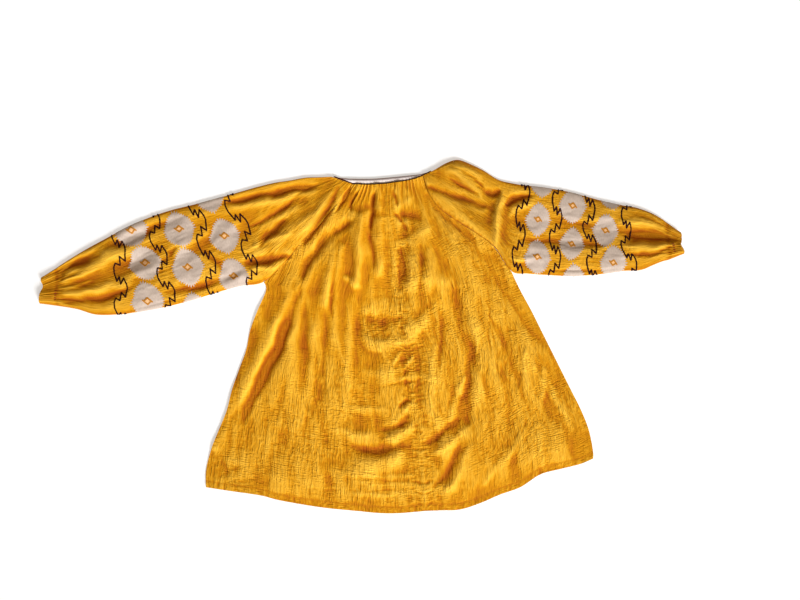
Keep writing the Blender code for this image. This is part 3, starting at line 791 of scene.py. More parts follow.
def local_mean(grid, reach):
    """Mean of a grid's values over a square of neighbours."""
    out = grid
    for axis in (0, 1):
        wide = np.concatenate([np.repeat(np.take(out, [0], axis), reach, axis), out,
                               np.repeat(np.take(out, [-1], axis), reach, axis)], axis)
        total = np.cumsum(wide, axis)
        zero = np.zeros_like(np.take(total, [0], axis))
        total = np.concatenate([zero, total], axis)
        count = 2 * reach + 1
        high = np.take(total, np.arange(count, total.shape[axis]), axis)
        low = np.take(total, np.arange(0, total.shape[axis] - count), axis)
        out = (high - low) / count
    return out


def lowest_near(grid):
    """Lowest of each value and its neighbours in a grid."""
    padded = np.pad(grid, 1, mode="edge")
    rows, columns = grid.shape
    shifts = [padded[i:i + rows, j:j + columns] for i in range(3) for j in range(3)]
    return np.min(shifts, axis=0)


# What a fold is measured against. Columns: neighbours on each side, height that counts in full
SHADE_NEAR = (4, 2.72)
SHADE_WIDE = (16, 4.8)


def painted_fold_shade(height):
    """How far each point of a grid stands above or below the cloth round it, about -1 to 1, for painted shade
    in hollows and painted highlight on ridges.
    """
    total = np.zeros(height.shape)
    for reach, full in (SHADE_NEAR, SHADE_WIDE):
        total += (height - local_mean(height, reach)) / full
    return np.clip(total, -1.0, 1.0)


def filled(outline, spacing):
    """Points and triangles that fill an outline, with points inside it at an even spacing."""
    outline = np.asarray(outline, dtype=float)
    low = outline.min(0)
    high = outline.max(0)
    rows = int((high[1] - low[1]) / (spacing * FILL_ROW)) + 1
    columns = int((high[0] - low[0]) / spacing) + 1
    inside = np.array([(low[0] + (column + 0.5 * (row % 2)) * spacing, low[1] + row * spacing * FILL_ROW)
                       for row in range(rows) for column in range(columns)])
    inside = inside[within(inside, outline)]
    if len(inside):
        gaps = np.linalg.norm(inside[:, None] - outline[None], axis=2).min(1)
        inside = inside[gaps > FILL_CLEAR * spacing]
    points = [Vector(point) for point in np.vstack((outline, inside))]
    count = len(outline)
    edges = [(i, (i + 1) % count) for i in range(count)]
    found, _, triangles, *_ = delaunay_2d_cdt(points, edges, [], 1, 1e-5)
    return np.array([tuple(point) for point in found]), np.array(triangles)


def within(points, outline):
    """Whether each point lies inside a closed outline."""
    inside = np.zeros(len(points), dtype=bool)
    for start, end in zip(outline, np.roll(outline, -1, axis=0)):
        crosses = (start[1] > points[:, 1]) != (end[1] > points[:, 1])
        rise = end[1] - start[1]
        if rise == 0:
            continue
        at = start[0] + (points[:, 1] - start[1]) / rise * (end[0] - start[0])
        inside ^= crosses & (points[:, 0] < at)
    return inside


def slab(upper, lower, triangles):
    """Points and faces of a closed slab between two copies of a patch of triangles."""
    count = len(upper)
    edges = np.concatenate((triangles[:, (0, 1)], triangles[:, (1, 2)], triangles[:, (2, 0)]))
    keys = set(map(tuple, edges))
    border = [(a, b) for a, b in edges if (b, a) not in keys]
    faces = [tuple(triangle) for triangle in triangles]
    faces += [tuple(index + count for index in triangle[::-1]) for triangle in triangles]
    faces += [(b, a, a + count, b + count) for a, b in border]
    return np.vstack((upper, lower)), faces


# Fronts

def seam_height(share):
    """Height of the upper layer along the raglan seam, from the neck to the armpit."""
    return NECK_TOP + (ARMPIT_TOP - NECK_TOP) * ease(share)


def front_plan(sleeve, side, neck, hem, columns):
    """Plan of a front as a grid of points, with the share across and down of each."""
    raglan = np.linspace(0, 1, FRONT_RAGLAN_ROWS)
    lower = np.linspace(0, 1, FRONT_SIDE_ROWS)[1:]
    outer = np.vstack((spline(sleeve[:, 2:4], raglan * ARMPIT), along(side, lower)))
    v = np.concatenate((raglan * RAGLAN_SHARE, RAGLAN_SHARE + (1 - RAGLAN_SHARE) * lower))
    u = np.linspace(0, 1, columns)
    centre = along(CENTRE_SEAM, v)
    top = along(neck, u)
    low = along(hem, u)
    across = outer[:, None] + (centre - outer)[:, None] * u[None, :, None]
    straight_top = top[0] + (top[-1] - top[0]) * u[:, None]
    straight_low = low[0] + (low[-1] - low[0]) * u[:, None]
    down = v[:, None, None]
    plan = across + (1 - down) * (top - straight_top)[None] + down * (low - straight_low)[None]
    for edge, inner, gap in ((0, 1, SEAM_GAP), (-1, -2, SEAM_GAP / 2)):
        way = plan[:, inner] - plan[:, edge]
        plan[:, edge] += way * gap / np.linalg.norm(way, axis=1)[:, None]
    return plan, *np.meshgrid(u, v)


def front_relief(plan, u, v, neck_distance, cloth):
    """Height of a front's outer face over its whole grid."""
    share = v / RAGLAN_SHARE
    edge = seam_height(share) + (SIDE_TOP - ARMPIT_TOP) * ease((share - 1) / SIDE_SETTLE)
    hem_settle = ease((1 - v) / HEM_SETTLE)
    sink = CENTRE_SINK * ease((u - SEAM_SINK_FROM) / (1 - SEAM_SINK_FROM)) * ease(v / HEM_SETTLE)
    top = edge + (FRONT_PUFF - sink) * ease(u / PUFF_IN) * hem_settle
    fade = ease(u / NECK_FADE_OUTER) * ease((1 - u) / NECK_FADE_CENTRE)
    neck_width = run_length(plan[0])[-1]
    top += fade * gathers(NECK_GATHERS, u * neck_width, neck_distance, NECK_SEED)
    folds = relief(plan.reshape(-1, 2), cloth.reshape(-1, 2)).reshape(u.shape)
    folds *= ease(2 * (1 - v) / HEM_SETTLE)
    return top + folds * (NECK_CALM + (1 - NECK_CALM) * ease(neck_distance / NECK_CALM_REACH))


def front_seams(plan, u, v):
    """Heights of the puckers and grooves at a front's seams and hem."""
    rows, columns = u.shape
    off_centre = np.linalg.norm(plan - plan[:, -1:], axis=2)
    off_side = np.linalg.norm(plan - plan[:, :1], axis=2)
    off_hem = np.linalg.norm(plan - plan[-1:], axis=2)

    down = np.repeat(run_length(plan[:, -1])[:, None], columns, axis=1)
    growth = 0.5 + 0.5 * ease((down - CENTRE_PUCKER_GROWTH) / CENTRE_PUCKER_GROWTH)
    strength = CENTRE_PUCKER * ease(down / CENTRE_PUCKER_START) * growth
    total = strength * puckers(down + CENTRE_PUCKER_SLANT * off_centre, off_centre,
                               CENTRE_PUCKER_SPACING, CENTRE_PUCKER_REACH, CENTRE_SEED)
    total -= 0.5 * SEAM_GROOVE * bell(off_centre, SEAM_GROOVE_WIDTH)

    side_down = np.repeat(run_length(plan[:, 0])[:, None], columns, axis=1)
    total += EDGE_PUCKER * puckers(side_down, off_side, EDGE_PUCKER_SPACING, EDGE_PUCKER_REACH, SIDE_SEED)
    beside_sleeve = ease((SIDE_GROOVE_END - v) / SIDE_GROOVE_FADE)
    total -= SEAM_GROOVE * bell(off_side, SEAM_GROOVE_WIDTH) * beside_sleeve

    total -= HEM_GROOVE * bell(off_hem - HEM_BAND, HEM_GROOVE_WIDTH)
    across = np.repeat(run_length(plan[-1])[None], rows, axis=0)
    total += HEM_RIPPLE * puckers(across, off_hem, HEM_RIPPLE_SPACING, HEM_RIPPLE_REACH, HEM_SEED)
    return total


def panel(name, plan, height, lowest, cloth_uv, finish):
    """Closed thin panel of cloth on a grid, its inner face plainer than its outer one."""
    height = lowest + CLOTH + np.maximum(np.minimum(height, HIGHEST) - lowest - CLOTH, 0.0)
    rows, columns = height.shape
    outer = np.dstack((plan, height)).reshape(-1, 3)
    under = np.maximum(lowest_near(height) - CLOTH, lowest)[::2, ::2]
    rim = np.zeros(under.shape, dtype=bool)
    rim[[0, -1]] = True
    rim[:, [0, -1]] = True
    under[rim] = (height - CLOTH)[::2, ::2][rim]
    inner = np.dstack((plan[::2, ::2], under)).reshape(-1, 3)
    out_grid = number_grid(0, rows, columns)
    in_grid = number_grid(rows * columns, *under.shape)
    faces = [*quads(out_grid), *quads(in_grid)[:, ::-1], *zip_loop(border(out_grid), border(in_grid))]
    # Fold values, kept for painted shade in the hollows and painted highlight on the ridges of the cotton
    shade = painted_fold_shade(height)
    uv = np.vstack((cloth_uv.reshape(-1, 2), cloth_uv[::2, ::2].reshape(-1, 2)))
    crinkled = crinkle_share(plan.reshape(-1, 2)).reshape(height.shape)
    values = {"fold": np.concatenate((shade.ravel(), shade[::2, ::2].ravel())),
              "crinkled": np.concatenate((crinkled.ravel(), crinkled[::2, ::2].ravel()))}
    mesh = smooth_mesh(name, np.vstack((outer, inner)), faces, uv, values)
    return add_object(name, mesh, finish)


def border(grid):
    """Point numbers round a grid, once round."""
    return np.concatenate((grid[0, :-1], grid[:-1, -1], grid[-1, :0:-1], grid[:0:-1, 0]))


def make_front(name, sleeve, side, neck, hem, columns, cloth_width, finish):
    """One front, and the points of its outer face as a grid."""
    plan, u, v = front_plan(sleeve, side, neck, hem, columns)
    neck_distance = np.linalg.norm(plan[:, -1:] - plan[:1, -1:], axis=2) + 0 * u
    length = run_length(plan[:, -1])[-1]
    drawn_in = np.sqrt(np.linalg.norm(plan[:, -1] - plan[:, 0], axis=1) / cloth_width)
    cloth = np.dstack(((u - 1) * cloth_width * drawn_in[:, None], v * length))
    height = front_relief(plan, u, v, neck_distance, cloth) + front_seams(plan, u, v)
    lowest = RESTING + FACING_ROOM * ease(1 - neck_distance / (2 * FACING_WIDTH))
    made = panel(name, plan, height, lowest, cloth, finish)
    return made, np.dstack((plan, np.maximum(height, lowest + CLOTH)))


# Sleeves

FINE_SECTIONS = 40
SLEEVE_CLOTH_START = 40.0


def sleeve_edges(sleeve, section):
    """Upper and lower edge points and puff of a sleeve at fractional rows of its table."""
    rows = spline(sleeve, section)
    return rows[:, 0:2], rows[:, 2:4], rows[:, 4]


def sleeve_width(sleeve, section):
    """Width of a sleeve across its sections."""
    upper, lower, _ = sleeve_edges(sleeve, section)
    return np.linalg.norm(upper - lower, axis=1)


def fine_sections(sleeve):
    """Sections close together down the whole sleeve."""
    return np.linspace(0, len(sleeve) - 1, FINE_SECTIONS * len(sleeve))


def sleeve_length(sleeve, section):
    """Distance along the sleeve from its elastic, measured down its middle."""
    fine = fine_sections(sleeve)
    upper, lower, _ = sleeve_edges(sleeve, fine)
    length = run_length((upper + lower) / 2)
    elastic = np.interp(len(sleeve) - 2, fine, length)
    return np.interp(section, fine, length) - elastic


def sleeve_height(sleeve, section, share):
    """Height of the outer face of a sleeve's upper layer at sections and shares across."""
    upper, lower, puff = sleeve_edges(sleeve, section)
    plan = lower + (upper - lower) * share[:, None]
    width = np.linalg.norm(upper - lower, axis=1)
    crown = np.clip(4 * share * (1 - share), 0, 1) ** CROWN
    crown -= CROWN_DIP * bell(share - CROWN_DIP_AT, CROWN_DIP_WIDTH)
    tube = ease((section - ARMPIT + TUBE_START) / TUBE_START)
    low_clear = 1 - tube * (1 - ease(share / FOLD_CLEAR))
    high_clear = ease((1 - share) / FOLD_CLEAR)
    from_elastic = sleeve_length(sleeve, section)
    cloth = np.column_stack((share * width + SLEEVE_CLOTH_START, from_elastic))
    top = seam_height(section / ARMPIT) + SLEEVE_PUFF * puff * crown
    top += relief(plan, cloth) * low_clear * high_clear

    clear = ease(share / SLEEVE_FADE) * ease((1 - share) / SLEEVE_FADE)
    cuff_width = np.linalg.norm(sleeve[-2, 0:2] - sleeve[-2, 2:4])
    neck_width = np.linalg.norm(sleeve[0, 0:2] - sleeve[0, 2:4])
    from_neck = from_elastic - sleeve_length(sleeve, np.zeros(1))
    top += clear * gathers(CUFF_GATHERS, share * cuff_width, np.minimum(from_elastic, 0), CUFF_SEED)
    top += clear * gathers(SHOULDER_GATHERS, share * neck_width, from_neck, SHOULDER_SEED)
    top -= ELASTIC_SINK * bell(from_elastic, ELASTIC_WIDTH)

    off_seam = share * width
    seam = (1 - tube) * bell(off_seam, SEAM_GROOVE_WIDTH)
    pucker = puckers(from_elastic, off_seam, EDGE_PUCKER_SPACING, EDGE_PUCKER_REACH, RAGLAN_SEED)
    top += (1 - tube) * EDGE_PUCKER * pucker - SEAM_GROOVE * seam
    lowest = RESTING + CLOTH + FACING_ROOM * ease(1 - section / FACING_SECTIONS)
    return np.maximum(np.minimum(top, HIGHEST), lowest)


def sleeve_point(sleeve, section, share, turn, outwards):
    """Points of a sleeve's outer face. The turn is 0 on the upper layer and pi under the rounded fold."""
    upper, lower, _ = sleeve_edges(sleeve, section)
    width = np.linalg.norm(upper - lower, axis=1)
    half = sleeve_height(sleeve, section, share) / 2
    reach = share + outwards * np.sin(turn) * FOLD_ROUND / width
    plan = lower + (upper - lower) * reach[:, None]
    way = ruffle_way(sleeve)
    past = np.clip(section - (len(sleeve) - 2), 0, 1)
    notch = RUFFLE_NOTCH_LEFT if way[0] < 0 else RUFFLE_NOTCH_RIGHT
    scallop = RUFFLE_REACH * past ** 2 * (1 - 2 * bell(share - notch, RUFFLE_NOTCH_WIDTH))
    plan = plan + way * (scallop * np.cos(turn))[:, None]
    return np.column_stack((plan, half * (1 + np.cos(turn))))


def ruffle_way(sleeve):
    """Direction in which the ruffle runs out."""
    run = (sleeve[-1, 0:2] + sleeve[-1, 2:4] - sleeve[-2, 0:2] - sleeve[-2, 2:4]) / 2
    return run / np.linalg.norm(run)


def sleeve_rows(sleeve):
    """Sections at an even spacing along a sleeve, with one of them at the armpit, and that row's number."""
    fine = fine_sections(sleeve)
    length = sleeve_length(sleeve, fine)
    at = np.linspace(length[0], length[-1], SLEEVE_ROWS)
    section = np.interp(at, length, fine)
    armpit = 2 * int(np.argmin(np.abs(section[::2] - ARMPIT)))
    section[armpit] = ARMPIT
    return section, armpit


def sleeve_skins(sleeve, section, armpit, back_rise):
    """Outer and inner face of a sleeve: a grid of points, its lower fold, and the step of its grid."""
    rows = len(section)
    upper, lower, _ = sleeve_edges(sleeve, section)
    width = np.linalg.norm(upper - lower, axis=1)
    tube = np.arange(rows) >= armpit
    high_end = 1 - FOLD_ROUND / width
    low_end = np.where(tube, FOLD_ROUND / width, 0.0)
    rise = np.where(tube, 0.0, np.clip(1 - section / ARMPIT, 0, 1))
    start = lower + rise[:, None] * back_rise

    def between(first, last, count):
        """Even shares from one end of each row to the other."""
        return first[:, None] + (last - first)[:, None] * np.linspace(0, 1, count)

    def strip(shares, turns, outwards):
        """Grid of outer points, one row for each section, from shares and turns for each column."""
        count = shares.shape[1]
        points = sleeve_point(sleeve, np.repeat(section, count), shares.ravel(), turns.ravel(),
                              np.full(shares.size, outwards))
        return points.reshape(rows, count, 3)

    top_share = between(high_end, low_end, SLEEVE_COLUMNS)
    top = strip(top_share, 0 * top_share, 1.0)
    turns = np.linspace(math.pi, 0, FOLD_COLUMNS)[None].repeat(rows, 0)
    high_fold = strip(np.repeat(high_end[:, None], FOLD_COLUMNS, 1), turns, 1.0)
    low_fold = strip(np.repeat(low_end[:, None], FOLD_COLUMNS, 1), turns[:, ::-1], -1.0)
    under_share = between(low_end, high_end, UNDER_COLUMNS)
    under_plan = start[:, None] + (upper - start)[:, None] * under_share[..., None]
    under = np.dstack((under_plan, np.zeros(under_share.shape)))
    outer = np.concatenate((under[:, :-1], high_fold[:, :-1], top), axis=1)
    turn_under = np.full(UNDER_COLUMNS - 1, math.pi)
    outer_turn = np.concatenate((turn_under, turns[0, :-1], np.zeros(SLEEVE_COLUMNS)))

    outward = (upper - lower) / width[:, None]
    inner = inset(outer, outer_turn, outward)
    inner_fold = inset(low_fold, turns[0, ::-1], -outward)
    roof = lowest_near(outer[:, -SLEEVE_COLUMNS:, 2]) - CLOTH
    inner[1:-1, 1 - SLEEVE_COLUMNS:-1, 2] = np.maximum(roof, RESTING / 2)[1:-1, 1:-1]
    return (outer, low_fold, 1), (inner, inner_fold, 2)


def sleeve_shell(skins, armpit):
    """Points and faces of the closed shell between a sleeve's outer and inner face."""
    points, faces, rims = [], [], []
    for skin, fold, step in skins:
        first = sum(len(part) for part in points)
        sheet = skin[::step, ::step]
        grid = number_grid(first, *sheet.shape[:2])
        closing = fold[armpit::step, ::step][:, 1:-1]
        closing_grid = number_grid(first + grid.size, *closing.shape[:2])
        points += [sheet.reshape(-1, 3), closing.reshape(-1, 3)]
        seam_end = armpit // step
        tube = grid[seam_end:]
        strip = np.concatenate((tube[:, -1:], closing_grid, tube[:, :1]), axis=1)
        faces += [*quads(grid), *quads(strip)]
        opening = np.concatenate((grid[0, :-1], grid[:seam_end, -1], strip[0, :-1], grid[seam_end:0:-1, 0]))
        rims.append((opening, np.concatenate((grid[-1, :-1], strip[-1, :-1]))))
    for outer_rim, inner_rim in zip(*rims):
        faces += [*zip_loop(outer_rim, inner_rim)]
    return np.vstack(points), faces


def sleeve_patterns(sleeve, section, armpit, skin):
    """Cloth coordinates, and the fold values for painted shade and highlight, of every point of a sleeve's
    shell.
    """
    rows, columns = skin.shape[:2]
    girth = 2 * sleeve_width(sleeve, section).max()
    around = np.repeat(np.linspace(0, 1, columns)[None] * girth, rows, 0)
    cloth = np.dstack((around, np.repeat(sleeve_length(sleeve, section)[:, None], columns, 1)))
    closing = np.repeat(cloth[:, -1:], FOLD_COLUMNS, 1)
    shade = np.zeros((rows, columns))
    shade[:, -SLEEVE_COLUMNS:] = painted_fold_shade(skin[:, -SLEEVE_COLUMNS:, 2])
    uv, shades = [], []
    for step in (1, 2):
        closed = closing[armpit::step, ::step][:, 1:-1].reshape(-1, 2)
        uv += [cloth[::step, ::step].reshape(-1, 2), closed]
        shades += [shade[::step, ::step].ravel(), np.zeros(len(closed))]
    return np.vstack(uv), np.concatenate(shades)


def make_sleeve(name, sleeve, back_rise, finish):
    """One sleeve: a closed tube from the armpit on, and two layers sewn to the body above it."""
    section, armpit = sleeve_rows(sleeve)
    skins = sleeve_skins(sleeve, section, armpit, back_rise)
    points, faces = sleeve_shell(skins, armpit)
    uv, shade = sleeve_patterns(sleeve, section, armpit, skins[0][0])
    # The fold attribute carries painted shade and highlight into the cotton's colour
    values = {"fold": shade, "crinkled": SLEEVE_CRINKLED * crinkle_share(points[:, :2])}
    return add_object(name, smooth_mesh(name, points, faces, uv, values), finish)


def inset(skin, turns, outward):
    """Copy of a skin moved into the sleeve by the cloth's thickness."""
    moved = skin.copy()
    moved[..., :2] -= CLOTH * np.sin(turns)[None, :, None] * outward[:, None]
    moved[..., 2] -= CLOTH * np.cos(turns)[None]
    return moved


# Places on a sleeve for the embroidery

WRAP_TURN = 0.62 * math.pi
SHOWN_FOLD = 3.2
PLACE_SECTIONS = 420
FIRST_SECTION = 0.5
FEEL = 0.6
FLATTEST = 0.02
TINY = 1e-9


def sleeve_place(sleeve, plan):
    """Section and share across of points of the plan. The share runs on past 0 and 1 beyond the edges."""
    section = np.linspace(FIRST_SECTION, len(sleeve) - 1, PLACE_SECTIONS)
    upper, lower, _ = sleeve_edges(sleeve, section)
    across = upper - lower
    off = plan[:, None] - lower[None]
    side = across[None, :, 0] * off[..., 1] - across[None, :, 1] * off[..., 0]
    crossing = np.argmax((side[:, :-1] * side[:, 1:]) <= 0, axis=1)
    rows = np.arange(len(plan))
    before = side[rows, crossing]
    after = side[rows, crossing + 1]
    found = crossing + before / (before - after + 1e-12)
    found = np.interp(found, np.arange(PLACE_SECTIONS), section)
    upper, lower, _ = sleeve_edges(sleeve, found)
    across = upper - lower
    share = np.sum((plan - lower) * across, axis=1) / np.sum(across ** 2, axis=1)
    return found, share


def on_sleeve(sleeve, plan, lift):
    """Points a given height above a sleeve's outer face, over points of the plan, and the way up at each."""
    here = skin_over(sleeve, plan)
    right = skin_over(sleeve, plan + (FEEL, 0.0)) - here
    ahead = skin_over(sleeve, plan + (0.0, FEEL)) - here
    square = np.cross(right, ahead)
    size = np.linalg.norm(square, axis=1)[:, None]
    square = np.where(size > FLATTEST, square / np.maximum(size, TINY), (0.0, 0.0, 1.0))
    return here + square * lift, square


def skin_over(sleeve, plan):
    """Points of a sleeve's outer face over points of the plan, wrapped round its folds past the edges."""
    section, share = sleeve_place(sleeve, plan)
    width = sleeve_width(sleeve, section)
    round_share = FOLD_ROUND / width
    kept = np.clip(share, round_share, 1 - round_share)
    past = np.abs(share - kept) * width
    arc = math.pi * (sleeve_height(sleeve, section, kept) / 2 + FOLD_ROUND) / 2
    turn = np.minimum(past / arc * math.pi, WRAP_TURN)
    return sleeve_point(sleeve, section, kept, turn, np.where(share > 0.5, 1.0, -1.0))


def beyond(sleeve, plan):
    """Whether points of the plan lie past the stretch of a fold that shows."""
    section, share = sleeve_place(sleeve, plan)
    return np.maximum(share - 1, -share) * sleeve_width(sleeve, section) > SHOWN_FOLD


def raised_patch(sleeve, outline, spacing, foot, lift):
    """Slab of thread that fills an outline on a sleeve, its top at a lift above the cloth."""
    points, triangles = filled(outline, spacing)
    hidden = beyond(sleeve, points)
    triangles = triangles[~hidden[triangles].all(axis=1)]
    used = np.unique(triangles)
    renumbered = np.full(len(points), -1)
    renumbered[used] = np.arange(len(used))
    points = points[used]
    triangles = renumbered[triangles]
    if not len(triangles):
        return None
    upper, _ = on_sleeve(sleeve, points, lift)
    lower, _ = on_sleeve(sleeve, points, foot)
    made, faces = slab(upper, lower, triangles)
    return made, faces, np.vstack((points, points))


def join_patches(name, patches, finish):
    """One piece from the patches that show."""
    points, faces, uv = [], [], []
    for patch in patches:
        if patch is None:
            continue
        first = sum(len(part) for part in points)
        points.append(patch[0])
        faces += [tuple(index + first for index in face) for face in patch[1]]
        uv.append(patch[2])
    mesh = smooth_mesh(name, np.vstack(points), faces, np.vstack(uv), sharp=PATCH_SHARP)
    return add_object(name, mesh, finish)


# Embroidery

OUTLINE_POINTS = 241


def turned(points, degrees):
    """Points turned about the origin."""
    turn = math.radians(degrees)
    points = np.asarray(points, dtype=float)
    return np.column_stack((points[:, 0] * math.cos(turn) - points[:, 1] * math.sin(turn),
                            points[:, 0] * math.sin(turn) + points[:, 1] * math.cos(turn)))


def medallion_outlines(half_width, half_height, number):
    """Toothed outline of a medallion round its centre, alone in a list."""
    chance = np.random.default_rng(MEDALLION_SEED + number)
    corners = MEDALLION_CORNERS[:, :2] * (half_width, half_height)
    corners += chance.uniform(-MEDALLION_UNEVEN, MEDALLION_UNEVEN, corners.shape) * half_width
    rows = np.column_stack((corners, MEDALLION_CORNERS[:, 2]))
    ring = np.vstack((rows[-2:], rows, rows[:3]))
    smooth = spline(ring, np.linspace(2, len(rows) + 2, OUTLINE_POINTS))
    length = run_length(smooth[:, :2])
    teeth = int(length[-1] / TOOTH_PITCH)
    points = len(TOOTH_SHAPE) * teeth
    line = at_lengths(smooth, length, (np.arange(points) / points) * length[-1])
    tip = line[:, 2] ** TIP_SHARPNESS
    line = line[:, :2]
    way = np.roll(line, -1, axis=0) - np.roll(line, 1, axis=0)
    outward = np.column_stack((way[:, 1], -way[:, 0])) / np.linalg.norm(way, axis=1)[:, None]
    tooth = np.tile(TOOTH_SHAPE, teeth) * np.repeat(chance.uniform(*TOOTH_UNEVEN, teeth), len(TOOTH_SHAPE))
    return [line + outward * (TOOTH_DEPTH * (tooth - 0.5) + TIP * TOOTH_DEPTH * tip * tooth)[:, None]]


def rhombus(half_width):
    """Corners of the rhombus in a medallion."""
    wide, tall = half_width * np.array(RHOMBUS)
    return np.array(((wide, 0), (0, tall), (-wide, 0), (0, -tall)), dtype=float)


def rhombus_bars(half_width, *_):
    """Outlines of the four sides of a rhombus, two of them with a short tail."""
    corners = rhombus(half_width)
    tails = (RHOMBUS_TAIL, 0.0, RHOMBUS_TAIL, 0.0)
    bars = []
    for start, end, tail in zip(corners, np.roll(corners, -1, axis=0), tails):
        way = (end - start) / np.linalg.norm(end - start)
        bars.append(bar(start - tail * way, end, RHOMBUS_BAND))
    return bars


def hearts(half_width, *_):
    """Outline of the small patch of stitches inside a rhombus, alone in a list."""
    return [rhombus(RHOMBUS_HEART * half_width)]


def bar(start, end, width):
    """Outline of a straight bar of stitches with rounded ends."""
    way = (end - start) / np.linalg.norm(end - start)
    square = np.array((-way[1], way[0])) * width / 2
    round_end = way * width / 2
    middle = start + (end - start) / 2
    return np.array((start - square, start - round_end, start + square, middle + square,
                     end + square, end + round_end, end - square, middle - square))


def make_patches(name, sleeve, table, outlines, layer, finish):
    """One layer of thread on every medallion of a table, from the function that gives its outlines."""
    patches = []
    for number, (x, y, turn, half_width, half_height) in enumerate(table):
        for outline in outlines(half_width, half_height, number):
            patches.append(raised_patch(sleeve, turned(outline, turn) + (x, y), *layer))
    return join_patches(name, patches, finish)


def zigzag_corners(turns, width):
    """Corners of a zigzag line with one figure between each two turns."""
    turns = np.array(turns, dtype=float)
    corners = []
    for start, end in zip(turns, turns[1:]):
        run = end - start
        right = np.array((-run[1], run[0])) / np.linalg.norm(run)
        corners += [start + run * down + right * width * across for down, across in FIGURE]
    return np.array(corners)


def stitched_line(corners, pitch):
    """Even places along each straight stretch of a line, with the way at each."""
    places, ways = [], []
    for start, end in zip(corners, corners[1:]):
        length = np.linalg.norm(end - start)
        if length < SHORTEST_STRETCH:
            continue
        count = max(1, round(length / pitch))
        shares = (np.arange(count) + 0.5) / count
        places.append(start + (end - start) * shares[:, None])
        ways.append(np.repeat([(end - start) / length], count, 0))
    return np.vstack(places), np.vstack(ways)


# Stitches by Geometry Nodes

def stitch_tree():
    """Node group that lays one rounded stitch on each point, along the point's way and on its square."""
    tree = bpy.data.node_groups.new("stitch_run", "GeometryNodeTree")
    face = tree.interface
    face.new_socket("Places", in_out="INPUT", socket_type="NodeSocketGeometry")
    sizes = {"Length": 3.0, "Width": 1.2, "Height": 0.7, "Unevenness": 0.12}
    for label, size in sizes.items():
        face.new_socket(label, in_out="INPUT", socket_type="NodeSocketFloat").default_value = size
    face.new_socket("Thread", in_out="INPUT", socket_type="NodeSocketMaterial")
    face.new_socket("Stitches", in_out="OUTPUT", socket_type="NodeSocketGeometry")

    def node(kind, settings=None, values=None):
        made = tree.nodes.new(kind)
        for key, value in (settings or {}).items():
            setattr(made, key, value)
        for key, value in (values or {}).items():
            socket = made.inputs[key]
            if isinstance(value, bpy.types.NodeSocket):
                tree.links.new(value, socket)
            else:
                socket.default_value = value
        return made

    given = node("NodeGroupInput").outputs
    bead = node("GeometryNodeMeshIcoSphere", None, {"Radius": 0.5, "Subdivisions": 2}).outputs["Mesh"]
    way = node("GeometryNodeInputNamedAttribute", {"data_type": "FLOAT_VECTOR"}, {"Name": "way"})
    square = node("GeometryNodeInputNamedAttribute", {"data_type": "FLOAT_VECTOR"}, {"Name": "square"})
    along_way = node("FunctionNodeAlignRotationToVector", {"axis": "X"},
                     {"Vector": way.outputs["Attribute"]})
    laid = node("FunctionNodeAlignRotationToVector", {"axis": "Z", "pivot_axis": "X"},
                {"Rotation": along_way.outputs["Rotation"], "Vector": square.outputs["Attribute"]})
    size = node("ShaderNodeCombineXYZ", None,
                {"X": given["Length"], "Y": given["Width"], "Z": given["Height"]})
    least = node("ShaderNodeMath", {"operation": "SUBTRACT"}, {0: 1.0, 1: given["Unevenness"]})
    most = node("ShaderNodeMath", {"operation": "ADD"}, {0: 1.0, 1: given["Unevenness"]})
    chance = node("FunctionNodeRandomValue", {"data_type": "FLOAT"}, {"Seed": 5})
    tree.links.new(least.outputs[0], chance.inputs[2])
    tree.links.new(most.outputs[0], chance.inputs[3])
    uneven = node("ShaderNodeVectorMath", {"operation": "SCALE"},
                  {0: size.outputs["Vector"], "Scale": chance.outputs[1]})
    laid_out = node("GeometryNodeInstanceOnPoints", None, {
        "Points": given["Places"], "Instance": bead, "Rotation": laid.outputs["Rotation"],
        "Scale": uneven.outputs["Vector"]})
    real = node("GeometryNodeRealizeInstances", None, {"Geometry": laid_out.outputs["Instances"]})
    smooth = node("GeometryNodeSetShadeSmooth", None, {"Geometry": real.outputs["Geometry"]})
    coloured = node("GeometryNodeSetMaterial", None,
                    {"Geometry": smooth.outputs["Geometry"], "Material": given["Thread"]})
    node("NodeGroupOutput", None, {"Stitches": coloured.outputs["Geometry"]})
    return tree


def lay_stitches(name, tree, places, ways, squares, stitch, thread):
    """Mesh of stitches at places in millimetres, each along its way and standing off its square."""
    mesh = bpy.data.meshes.new(name + "_places")
    mesh.from_pydata((np.asarray(places) * MM).tolist(), [], [])
    for label, values in (("way", ways), ("square", squares)):
        layer = mesh.attributes.new(label, "FLOAT_VECTOR", "POINT")
        layer.data.foreach_set("vector", np.asarray(values, dtype=np.float32).ravel())
    guide = bpy.data.objects.new(name + "_places", mesh)
    bpy.context.scene.collection.objects.link(guide)
    stitching = guide.modifiers.new("stitches", "NODES")
    stitching.node_group = tree
    sockets = [item for item in tree.interface.items_tree if item.in_out == "INPUT"]
    inputs = {item.name: item.identifier for item in sockets}
    for label, size in zip(("Length", "Width", "Height"), stitch):
        stitching[inputs[label]] = size * MM
    stitching[inputs["Thread"]] = thread
    bpy.context.view_layer.update()
    evaluated = guide.evaluated_get(bpy.context.evaluated_depsgraph_get())
    made = bpy.data.meshes.new_from_object(evaluated)
    made.name = name
    bpy.data.objects.remove(guide)
    return add_object(name, made, thread)


def make_zigzags(name, tree, sleeve, lines, width, thread):
    """Zigzag lines of stitches down a sleeve."""
    runs = []
    for turns in lines:
        plan, way = stitched_line(zigzag_corners(turns, width), ZIGZAG_PITCH)
        shown = ~beyond(sleeve, plan)
        here, square = on_sleeve(sleeve, plan[shown], ZIGZAG_LIFT)
        here[:, 2] = np.maximum(here[:, 2], ZIGZAG_LOWEST)
        ahead, _ = on_sleeve(sleeve, plan[shown] + way[shown], ZIGZAG_LIFT)
        runs.append((here, ahead - here, square))
    places, ways, squares = (np.vstack(part) for part in zip(*runs))
    return lay_stitches(name, tree, places, ways, squares, ZIGZAG_STITCH, thread)


